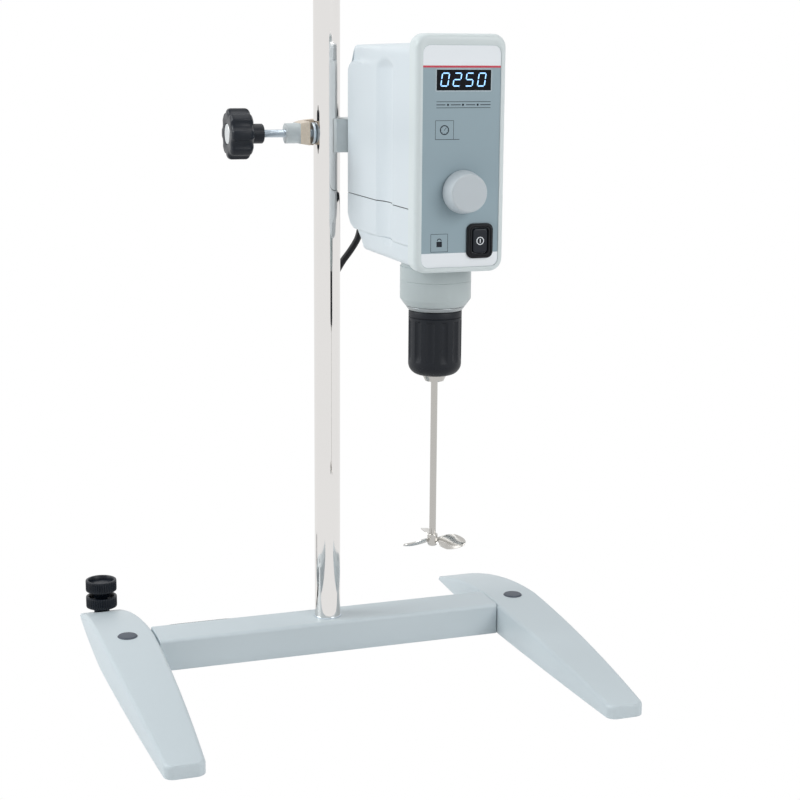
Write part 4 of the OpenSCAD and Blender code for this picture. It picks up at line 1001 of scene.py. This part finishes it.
def rear_fittings():
    """Screws of the covers, the arm's rubber grommet and the cord's strain relief."""
    places = [(x, 0, z) for x in (-COVER_SCREW_X, COVER_SCREW_X) for z in COVER_SCREW_Z]
    screws = Shape(HEAD)
    for place in places:
        screws.spin([(0.0, BACK_Y - 0.2), (1.3, BACK_Y - 0.2), (1.4, BACK_Y + 0.35), (2.9, BACK_Y + 0.35),
                     (3.4, BACK_Y), (3.6, BACK_Y - 0.5)], steps=32, axis="Y", at=place)
    screws.build("cover_screw_heads", "head", [ZINC], ("cover_screws",), sharp=40)
    rings = Shape(HEAD)
    for place in places:
        rings.spin([(3.5, BACK_Y + 0.02), (4.0, BACK_Y + 0.12), (4.2, BACK_Y + 0.02)], steps=32, axis="Y",
                   at=place)
    arm_z = CLAMP[2] - HEAD[2]
    rings.spin([(8.05, BACK_Y - 1), (8.05, BACK_Y + 1.2), (9.2, BACK_Y + 1.2), (10.0, BACK_Y + 0.4),
                (10.0, BACK_Y - 1)], steps=64, axis="Y", at=(0, 0, arm_z))
    rings.build("rear_grommet", "head", [RUBBER], sharp=40)
    gland = Shape(HEAD)
    profile = [(0.0, BACK_Y - 2), (6.8, BACK_Y - 2), (6.8, BACK_Y + 2.6), (6.2, BACK_Y + 3.4),
               (5.6, BACK_Y + 3.6)]
    y, r = BACK_Y + 4.4, 5.5
    while y < BACK_Y + 23.0:
        profile += [(r, y), (r, y + 1.5), (r - 0.75, y + 1.8), (r - 0.75, y + 2.4)]
        y += 2.7
        r -= 0.15
    profile += [(r, BACK_Y + 23.6), (r, BACK_Y + 24.8), (3.6, BACK_Y + GLAND_L), (0.0, BACK_Y + GLAND_L)]
    gland.spin(profile, steps=48, axis="Y", at=(0, 0, GLAND_Z))
    gland.build("strain_relief", "head", [BLACK], ("cord_gland",), sharp=40)


def bezel():
    """Front frame: soft edges, and a shallow recess that the control overlay lies in."""
    shape = Shape(HEAD)

    def outer(y, cut):
        outline = round_rect(BEZEL_W - 2 * cut, BEZEL_H - 2 * cut, BEZEL_R - cut)
        return [(x, y, z + BEZEL_H / 2) for x, z in outline]

    def inner(y, grow):
        outline = round_rect(OVERLAY_W + 2 * grow, OVERLAY_H + 2 * grow, OVERLAY_R + grow,
                             OVERLAY_X, OVERLAY_Z)
        return [(x, y, z) for x, z in outline]

    rings = [outer(SEAM_Y, 0.5), outer(SEAM_Y - 0.5, 0.0)]
    for i in range(11):
        a = math.radians(90 - 9 * i)
        depth = BEZEL_EDGE * (1 - math.cos(a)) if i else BEZEL_EDGE
        rings.append(outer(PANEL_Y + depth, BEZEL_EDGE * (1 - math.sin(a))))
    for depth, grow in ((0.0, 0.5), (0.15, 0.15), (0.6, 0.0), (1.2, 0.0)):
        rings.append(inner(PANEL_Y + depth, grow))
    shape.loft(rings)
    shape.build("bezel_frame", "head", [BEZEL], ("front_bezel",), sharp=40)


upper_cover()
lower_cover()
underside_tray()
rear_fittings()
bezel()

# ---------------------------------------------------------------- panel

CONTROL_X = 2.3
FILM_Y = PANEL_Y + 0.8
PRINT = 0.05
DISPLAY = (CONTROL_X, 171.6, 51.6, 18.0)
STRIPE_Z = (182.4, 184.2)
LOW_BAND_Z = 18.0
KNOB_Z = 73.0
SWITCH = (19.5, 28.5)
TORQUE_Z = 150.0
TORQUE_RULES = (152.7, 147.4)
TIMER_BOX = (-24.2, 119.6, -7.0, 136.2)
TIMER_TAIL = 5.8
LOCK_BOX = (-27.4, 19.4, -11.2, 35.4)
DIGITS = "0250"
DIGIT_X = 17.9
DIGIT_PITCH = 11.6


def overlay():
    """Control film with its bare bands above and below, and the stripe between."""
    shape = Shape(HEAD)
    film = round_rect(OVERLAY_W, OVERLAY_H, OVERLAY_R, OVERLAY_X, OVERLAY_Z)
    shape.plate(film, FILM_Y, FILM_Y + 0.6, edge=0.1)
    shape.build("control_film", "head", [OVERLAY], ("control_overlay",))
    bands = Shape(HEAD)
    r = OVERLAY_R
    half = OVERLAY_W / 2 - 0.15
    top = OVERLAY_Z + OVERLAY_H / 2 - 0.15
    low = OVERLAY_Z - OVERLAY_H / 2 + 0.15
    upper = ([(OVERLAY_X - half, STRIPE_Z[1]), (OVERLAY_X + half, STRIPE_Z[1])]
             + arc(OVERLAY_X + half - r, top - r, r, 0, 90, 10)
             + arc(OVERLAY_X - half + r, top - r, r, 90, 180, 10))
    lower = ([(OVERLAY_X + half, LOW_BAND_Z), (OVERLAY_X - half, LOW_BAND_Z)]
             + arc(OVERLAY_X - half + r, low + r, r, 180, 270, 10)
             + arc(OVERLAY_X + half - r, low + r, r, 270, 360, 10))
    for outline in (upper, lower):
        bands.loft([[(x, y, z) for x, z in outline] for y in (FILM_Y - PRINT, FILM_Y + 0.1)], slot=0)
    bands.loft([[(x, y, z) for x, z in ((OVERLAY_X - half, STRIPE_Z[0]), (OVERLAY_X + half, STRIPE_Z[0]),
                                        (OVERLAY_X + half, STRIPE_Z[1]), (OVERLAY_X - half, STRIPE_Z[1]))]
                for y in (FILM_Y - PRINT, FILM_Y + 0.1)], slot=1)
    bands.build("film_bands", "head", [WHITE_PRINT, RED_PRINT])


def strip(shape, x0, z0, x1, z1, wide=0.35):
    """Printed line from one point to another."""
    d = Vector((x1 - x0, z1 - z0)).normalized() * wide / 2
    corners = [(x0 - d.y, z0 + d.x), (x0 + d.y, z0 - d.x), (x1 + d.y, z1 - d.x), (x1 - d.y, z1 + d.x)]
    shape.loft([[(x, y, z) for x, z in corners] for y in (FILM_Y - PRINT, FILM_Y + 0.1)])


def hoop(shape, cx, cz, r, wide, start=0.0, end=360.0):
    """Printed arc."""
    steps = max(8, int(abs(end - start) / 8))
    pts = arc(cx, cz, r, start, end, steps)
    for (x0, z0), (x1, z1) in zip(pts, pts[1:]):
        strip(shape, x0, z0, x1, z1, wide)


def spot(shape, cx, cz, r):
    """Printed dot."""
    shape.loft([[(cx + x, y, cz + z) for x, z in circle(r, 24)] for y in (FILM_Y - PRINT, FILM_Y + 0.1)])


def mark_frame(shape, box, tail=0.0, base_wide=0.35):
    """Thin frame round a mark, whose lower line may run on to the right; gives the frame's middle."""
    left, low, right, high = box
    strip(shape, left, low, left, high)
    strip(shape, left, high, right, high)
    strip(shape, right, low, right, high)
    strip(shape, left, low, right + tail, low, base_wide)
    return (left + right) / 2, (low + high) / 2


def panel_marks():
    """Torque scale, and the timer and lock symbols in their frames."""
    shape = Shape(HEAD)
    x, z, w, h = DISPLAY
    left, right = x - w / 2, x + w / 2
    for height in TORQUE_RULES:
        strip(shape, left, height, right, height, 0.45)
    for a, b in ((0.0, 0.165), (0.265, 0.445), (0.545, 0.715), (0.81, 1.0)):
        strip(shape, left + a * w, TORQUE_Z, left + b * w, TORQUE_Z, 0.7)
    for f in (0.212, 0.488, 0.76):
        spot(shape, left + f * w, TORQUE_Z, 1.0)
    cx, cz = mark_frame(shape, TIMER_BOX, TIMER_TAIL, 0.45)
    hoop(shape, cx, cz, 3.9, 0.9)
    strip(shape, cx, cz, cx + 1.6, cz + 2.0, 0.4)
    strip(shape, cx, cz, cx, cz - 0.6, 0.4)
    for k in range(1, 8):
        a = math.radians(90 - 45 * k)
        c, s = math.cos(a), math.sin(a)
        strip(shape, cx + 2.6 * c, cz + 2.6 * s, cx + 3.3 * c, cz + 3.3 * s, 0.3)
    cx, middle = mark_frame(shape, LOCK_BOX)
    cz = middle - 1.2
    for i in range(9):
        strip(shape, cx - 2.6, cz - 2.2 + i * 0.55, cx + 2.6, cz - 2.2 + i * 0.55, 0.56)
    hoop(shape, cx, cz + 3.0, 1.9, 0.8, 0, 180)
    shape.build("panel_marks", "head", [DARK_PRINT])


def digit_strokes(figure):
    """Lit strokes of one seven-segment figure, by letter."""
    return {"0": "abcdef", "1": "bc", "2": "abged", "3": "abgcd", "4": "fgbc", "5": "afgcd", "6": "afgedc",
            "7": "abc", "8": "abcdefg", "9": "abcfgd"}[figure]


def display():
    """Black window with its border line and four slanted seven-segment figures."""
    x, z, w, h = DISPLAY
    window = Shape(HEAD)
    window.plate(round_rect(w, h, 0.4, x, z, 3), FILM_Y - 0.12, FILM_Y + 2.0, edge=0.06)
    window.build("display_glass", "head", [LENS], ("display_window",))
    frame_line = Shape(HEAD)
    for a, b in (((-1, -1), (1, -1)), ((1, -1), (1, 1)), ((1, 1), (-1, 1)), ((-1, 1), (-1, -1))):
        gx, gz = w / 2 + 0.6, h / 2 + 0.6
        strip(frame_line, x + a[0] * gx, z + a[1] * gz, x + b[0] * gx, z + b[1] * gz, 0.9)
    frame_line.build("display_border", "head", [WINDOW_EDGE])
    tall, wide, thick, slant = 11.2, 6.6, 0.98, 0.15
    ends = {"a": ((0, 2), (1, 2)), "b": ((1, 1), (1, 2)), "c": ((1, 0), (1, 1)), "d": ((0, 0), (1, 0)),
            "e": ((0, 0), (0, 1)), "f": ((0, 1), (0, 2)), "g": ((0, 1), (1, 1))}
    digits = Shape(HEAD)
    for k, figure in enumerate(DIGITS):
        cx = x - DIGIT_X + k * DIGIT_PITCH
        for letter, (p, q) in ends.items():
            lit = letter in digit_strokes(figure)
            a = Vector((p[0] * wide - wide / 2, p[1] * tall / 2 - tall / 2))
            b = Vector((q[0] * wide - wide / 2, q[1] * tall / 2 - tall / 2))
            along = (b - a).normalized()
            across = Vector((-along.y, along.x)) * thick / 2
            a, b = a + along * 0.35, b - along * 0.35
            tip = along * thick / 2
            stroke = [a, a + tip - across, b - tip - across, b, b - tip + across, a + tip + across]
            y0 = FILM_Y - (0.2 if lit else 0.16)
            digits.loft([[(cx + v.x + slant * v.y, y, z + 0.4 + v.y) for v in stroke] for y in (y0, FILM_Y)],
                        slot=0 if lit else 1)
    digits.build("display_figures", "head", [SEGMENT, GHOST])


def speed_knob():
    """Turned control knob: a short skirt, a tapered side and a dished face of a second colour."""
    front = low_of("speed_knob", 1) - HEAD[1]
    seat = PANEL_Y + 0.2
    depth = seat - front
    shape = Shape((HEAD[0] + CONTROL_X, HEAD[1], HEAD[2] + KNOB_Z))
    side = [(0.0, seat), (18.6, seat), (19.3, seat - 0.3), (19.5, seat - 0.9), (19.5, seat - 2.0)]
    face_r = 16.9
    for i in range(1, 9):
        s = i / 8
        side.append((19.5 - (19.5 - face_r - 0.35) * s ** 1.15, seat - 2.0 - (depth - 3.4) * s))
    edge = [(face_r + 0.1, front + 0.9), (face_r - 0.35, front + 0.3), (face_r - 1.0, front + 0.02)]
    shape.spin(side + edge + [(face_r - 1.5, front)], steps=128, axis="Y", slot=0)
    shape.spin([(face_r - 1.5, front), (face_r - 2.2, front + 0.22), (9.0, front + 0.42),
                (0.0, front + 0.5)], steps=128, axis="Y", slot=1)
    shape.build("speed_knob_cap", "speed_dial", [KNOB, KNOB_FACE], ("speed_knob",), sharp=50)


def power_switch():
    """Rubber-booted push switch: a stepped frame, a soft button and its ring-and-bar mark."""
    sx, sz = SWITCH
    front = low_of("switch_frame", 1) - HEAD[1]
    shape = Shape(HEAD)

    def ring(y, w, h, r):
        return [(x, y, z) for x, z in round_rect(w, h, r, sx, sz, 8)]

    steps = ((1.7, 25.4, 31.6, 6.0), (1.2, 25.0, 31.2, 5.8), (1.1, 23.4, 29.8, 5.2), (0.3, 23.0, 29.4, 5.0),
             (0.0, 22.4, 28.8, 4.8), (0.0, 20.6, 27.4, 4.4), (0.9, 20.2, 27.0, 4.2), (0.9, 19.4, 26.2, 4.0),
             (0.2, 19.0, 25.8, 3.8), (0.2, 17.0, 24.4, 3.4), (1.2, 15.4, 23.2, 3.2), (3.0, 15.0, 23.0, 3.2))
    shape.loft([ring(FILM_Y + 0.3, 25.4, 31.6, 6.0)] + [ring(front + y, w, h, r) for y, w, h, r in steps])
    shape.build("switch_boot", "head", [RUBBER], ("switch_frame",), sharp=45)
    button = Shape(HEAD)
    face = low_of("switch_button", 1) - HEAD[1]
    steps = ((4.4, 14.2, 22.2, 3.0), (1.2, 14.2, 22.2, 3.0), (0.4, 13.8, 21.8, 2.8), (0.05, 12.8, 20.8, 2.4),
             (0.0, 11.0, 19.0, 1.8))
    button.loft([ring(face + y, w, h, r) for y, w, h, r in steps])
    button.build("switch_button_boot", "power_button", [BLACK], ("switch_button",), sharp=45)
    mark = Shape(HEAD)
    pts = arc(sx, sz, 3.3, 0, 360, 40)
    for (x0, z0), (x1, z1) in zip(pts, pts[1:]):
        bar(mark, x0, z0, x1, z1, 0.75, face)
    bar(mark, sx, sz - 1.7, sx, sz + 1.7, 0.8, face)
    mark.build("switch_mark", "power_button", [WHITE_PRINT])


def bar(shape, x0, z0, x1, z1, wide, face):
    """Raised line on the switch's button."""
    d = Vector((x1 - x0, z1 - z0)).normalized() * wide / 2
    corners = [(x0 - d.y, z0 + d.x), (x0 + d.y, z0 - d.x), (x1 + d.y, z1 - d.x), (x1 - d.y, z1 + d.x)]
    shape.loft([[(x, y, z) for x, z in corners] for y in (face - 0.08, face + 0.1)])


overlay()
panel_marks()
display()
speed_knob()
power_switch()

# ---------------------------------------------------------------- neck, chuck and stirring tool

NECK_R = 33.5
NECK_LOW = -38.0
RING_LOW = -42.2
SLEEVE_TOP = -42.7
SLEEVE_LOW = -104.7
SLEEVE_R = 25.2
TAPER_R = 11.2
FLUTES = 12
FLUTE_R = 7.0
FLUTE_DEPTH = 1.5
SHAFT_R = 3.2
SHAFT_TOP = -64.0
SHAFT_LOW = low_of("stirring_shaft", 2) - HEAD[2]


def neck():
    """Painted neck under the head, with its groove and shadow line, and the trim ring below it."""
    shape = Shape(HEAD)
    shape.spin([(0.0, 4.0), (NECK_R - 1.0, 4.0), (NECK_R - 1.0, -0.7), (NECK_R, -1.0), (NECK_R, -13.8),
                (NECK_R - 0.3, -14.0), (NECK_R - 0.3, -14.3), (NECK_R, -14.5),
                (NECK_R, NECK_LOW + 6.9), (NECK_R - 0.15, NECK_LOW + 6.5),
                (NECK_R - 0.45, NECK_LOW + 6.0), (NECK_R - 4.5, NECK_LOW + 0.4), (NECK_R - 4.9, NECK_LOW + 0.1),
                (NECK_R - 5.4, NECK_LOW), (0.0, NECK_LOW)], steps=160)
    shape.build("neck_housing", "head", [NECK_PAINT], ("neck_shroud",), sharp=28)
    ring = Shape(HEAD)
    ring.spin([(0.0, NECK_LOW - 0.2), (NECK_R - 6.6, NECK_LOW - 0.2), (NECK_R - 5.7, NECK_LOW - 0.5),
               (NECK_R - 5.6, NECK_LOW - 0.9), (NECK_R - 6.0, NECK_LOW - 1.4), (NECK_R - 7.6, RING_LOW + 0.5),
               (NECK_R - 8.2, RING_LOW), (0.0, RING_LOW)], steps=128)
    ring.build("neck_trim", "head", [RING_PAINT], ("neck_ring",), sharp=35)


def chuck_sleeve():
    """Gripping sleeve of the keyless chuck, with its long flutes and its round shoulder."""
    centre_r = SLEEVE_R + FLUTE_R - FLUTE_DEPTH
    top, low = SLEEVE_TOP - 9.0, SLEEVE_LOW + TAPER_R + 3.0

    def flute(a, r, h):
        period = 2 * math.pi / FLUTES
        off = (a + period / 2) % period - period / 2
        reach = FLUTE_R ** 2 - (centre_r * math.sin(off)) ** 2
        if r < SLEEVE_R - 0.3 or reach <= 0:
            return 0.0
        depth = max(0.0, r - (centre_r * math.cos(off) - math.sqrt(reach)))
        return -depth * smoothstep(low - 0.5, low + 1.5, h) * smoothstep(-top - 0.5, -top + 1.5, -h)

    profile = [(0.0, SLEEVE_TOP - 0.1), (SLEEVE_R - 1.2, SLEEVE_TOP), (SLEEVE_R - 0.3, SLEEVE_TOP - 0.3),
               (SLEEVE_R, SLEEVE_TOP - 1.1), (SLEEVE_R, SLEEVE_TOP - 5.6), (SLEEVE_R - 0.6, SLEEVE_TOP - 5.9),
               (SLEEVE_R - 0.6, SLEEVE_TOP - 6.3), (SLEEVE_R, SLEEVE_TOP - 6.6)]
    z = SLEEVE_TOP - 7.2
    while z > low - 2.0:
        profile.append((SLEEVE_R, z))
        z -= 0.8 if (z > top - 2.5 or z < low + 3.0) else 4.0
    taper_z = SLEEVE_LOW + TAPER_R
    profile += arc(SLEEVE_R - TAPER_R, taper_z, TAPER_R, 0, -84, 18)
    profile += [(12.9, SLEEVE_LOW), (12.6, SLEEVE_LOW + 0.6), (12.4, SLEEVE_LOW + 3.0)]
    shape = Shape(HEAD)
    shape.spin(profile, steps=360, swell=flute)
    shape.build("chuck_grip", "sleeve", [SLEEVE], ("chuck_sleeve",), sharp=35)


def stirring_shaft():
    """Plain shaft from the chuck to the propeller."""
    shape = Shape(HEAD)
    shape.spin([(0.0, SHAFT_TOP), (SHAFT_R, SHAFT_TOP), (SHAFT_R, SHAFT_LOW + 0.4),
                (SHAFT_R - 0.4, SHAFT_LOW), (0.0, SHAFT_LOW)], steps=64)
    shape.build("shaft_rod", "spindle_set", [STEEL], ("stirring_shaft",))


BLADES = 3
BLADE_START = 78.0
BLADE_REACH = 34.0
BLADE_W = 20.0
BLADE_T = 1.2
BLADE_PITCH = 22.0
BLADE_TWIST = 22.0
BLADE_ROOT = 3.5
HUB_LOW = SHAFT_LOW - 2.0


def blade_section(r, steps=8):
    """Rounded section of a blade at radius r, turned to its pitch."""
    s = r / BLADE_REACH
    half = BLADE_W / 2 * math.sqrt(max(0.02, 1 - ((s - 0.55) / 0.46) ** 2))
    half *= 0.55 + 0.45 * s / 0.55 if s < 0.55 else 1.0
    a = math.radians(BLADE_PITCH + BLADE_TWIST * (1 - s))
    out = []
    for x, y in ([(-half + 2 * half * i / steps, 1.0) for i in range(steps + 1)]
                 + [(half - 2 * half * i / steps, -1.0) for i in range(steps + 1)]):
        t = BLADE_T / 2 * math.sqrt(max(0.12, 1 - 0.85 * (x / max(half, 0.01)) ** 2)) * y
        camber = 0.9 * (1 - (x / max(half, 0.01)) ** 2) * s
        out.append((x * math.cos(a) - (t + camber) * math.sin(a),
                    x * math.sin(a) + (t + camber) * math.cos(a)))
    return out


def propeller():
    """Three pitched blades on a round hub at the shaft's end."""
    shape = Shape((HEAD[0], HEAD[1], HEAD[2] + HUB_LOW))
    for k in range(BLADES):
        turn = math.radians(BLADE_START + k * 360 / BLADES)
        c, s = math.cos(turn), math.sin(turn)
        rings = []
        for i in range(25):
            r = BLADE_ROOT + (BLADE_REACH - BLADE_ROOT) * math.sin(math.radians(90 * i / 24))
            rings.append([(r * c - v * s, r * s + v * c, 6.0 + h) for v, h in blade_section(r)])
        shape.loft(rings)
    shape.spin([(0.0, 0.0)] + arc(2.0, 3.0, 3.0, -90, 0, 8)
               + [(5.0, 11.4), (4.8, 11.8), (4.2, 12.0), (0.0, 12.0)], steps=64)
    shape.build("propeller_tool", "spindle_set", [STEEL], ("propeller",), sharp=35)


neck()
chuck_sleeve()
stirring_shaft()
propeller()
dress("chuck_body", STEEL, 0.25)
for number in (1, 2, 3):
    dress(f"jaw_{number}", STEEL, 0.15)

# ---------------------------------------------------------------- pieces inside, and the plug

for node, material, width in (
    ("display_module", BLACK, 0.2), ("control_board", BOARD, 0.1), ("speed_encoder", BLACK, 0.2),
    ("encoder_shaft", STEEL, 0.2), ("switch_body", BLACK, 0.2), ("drive_frame", ALUMINIUM, 0.3),
    ("motor", MOTOR_STEEL, 0.4), ("motor_shaft", STEEL, 0.2), ("motor_pulley", ALUMINIUM, 0.2),
    ("drive_belt", RUBBER, 0.2), ("spindle_pulley", ALUMINIUM, 0.2), ("spindle", STEEL, 0.2),
    ("upper_bearing", STEEL, 0.1), ("lower_bearing", STEEL, 0.1), ("power_board", BOARD, 0.1),
    ("plug_body", BLACK, 1.2), ("plug_pins", BRASS, 0.3),
):
    dress(node, material, width)

# ---------------------------------------------------------------- light, floor and background


FLOOR_HALF = 6.0
FLOOR_TONE = 0.93
FLOOR_ROUGH = 0.9
SKY = 0.27
SKY_TINT = (0.97, 0.985, 1.0, 1.0)
WHITE = (1.0, 1.0, 1.0, 1.0)


def area_light(name, place, aim, size, watts, tint=(1.0, 1.0, 1.0)):
    """Rectangular lamp at a place in metres, aimed at a point."""
    data = bpy.data.lights.new(name, "AREA")
    data.shape = "RECTANGLE"
    data.size, data.size_y = size
    data.energy = watts
    data.color = tint
    lamp = bpy.data.objects.new(name, data)
    lamp.location = place
    lamp.rotation_euler = (Vector(aim) - Vector(place)).to_track_quat("-Z", "Y").to_euler()
    bpy.context.scene.collection.objects.link(lamp)


def show_white(tree, lit, white, surface):
    """White to the camera, in metal and through glass; the lit shader for all other light."""
    path = tree.nodes.new("ShaderNodeLightPath")
    seen = path.outputs["Is Camera Ray"]
    for kind in ("Is Glossy Ray", "Is Transmission Ray"):
        either = tree.nodes.new("ShaderNodeMath")
        either.operation = "MAXIMUM"
        tree.links.new(seen, either.inputs[0])
        tree.links.new(path.outputs[kind], either.inputs[1])
        seen = either.outputs["Value"]
    mix = tree.nodes.new("ShaderNodeMixShader")
    tree.links.new(seen, mix.inputs["Fac"])
    tree.links.new(lit, mix.inputs[1])
    tree.links.new(white, mix.inputs[2])
    tree.links.new(mix.outputs["Shader"], surface)


def floor():
    """Plain white sweep under the object."""
    mesh = bpy.data.meshes.new("floor")
    corners = [(x * FLOOR_HALF, y * FLOOR_HALF, 0) for x, y in ((-1, -1), (1, -1), (1, 1), (-1, 1))]
    mesh.from_pydata(corners, [], [(0, 1, 2, 3)])
    material = bpy.data.materials.new("floor")
    material.use_nodes = True
    tree = material.node_tree
    shader = tree.nodes["Principled BSDF"]
    shader.inputs["Base Color"].default_value = (FLOOR_TONE, FLOOR_TONE, FLOOR_TONE, 1.0)
    shader.inputs["Roughness"].default_value = FLOOR_ROUGH
    white = tree.nodes.new("ShaderNodeEmission")
    white.inputs["Strength"].default_value = 1.0
    show_white(tree, shader.outputs["BSDF"], white.outputs["Emission"],
               tree.nodes["Material Output"].inputs["Surface"])
    mesh.materials.append(material)
    sweep = bpy.data.objects.new("floor", mesh)
    bpy.context.scene.collection.objects.link(sweep)


def background():
    """One plain pale tone all round the object, white where it is seen."""
    world = bpy.data.worlds.new("studio")
    bpy.context.scene.world = world
    world.use_nodes = True
    tree = world.node_tree
    soft = tree.nodes["Background"]
    soft.inputs["Color"].default_value = SKY_TINT
    soft.inputs["Strength"].default_value = SKY
    white = tree.nodes.new("ShaderNodeBackground")
    white.inputs["Color"].default_value = WHITE
    white.inputs["Strength"].default_value = 1.0
    show_white(tree, soft.outputs["Background"], white.outputs["Background"],
               tree.nodes["World Output"].inputs["Surface"])


area_light("key", (-2.4, 0.45, 1.7), (0.0, 0.0, 0.4), (1.6, 1.6), 47, (0.97, 0.99, 1.0))
area_light("fill", (1.3, -2.3, 1.6), (0.0, 0.0, 0.4), (1.6, 1.6), 32)
area_light("top", (0.1, 0.2, 2.4), (0.0, 0.0, 0.0), (1.8, 1.8), 14)
floor()
background()
bpy.context.scene.view_settings.view_transform = "Standard"
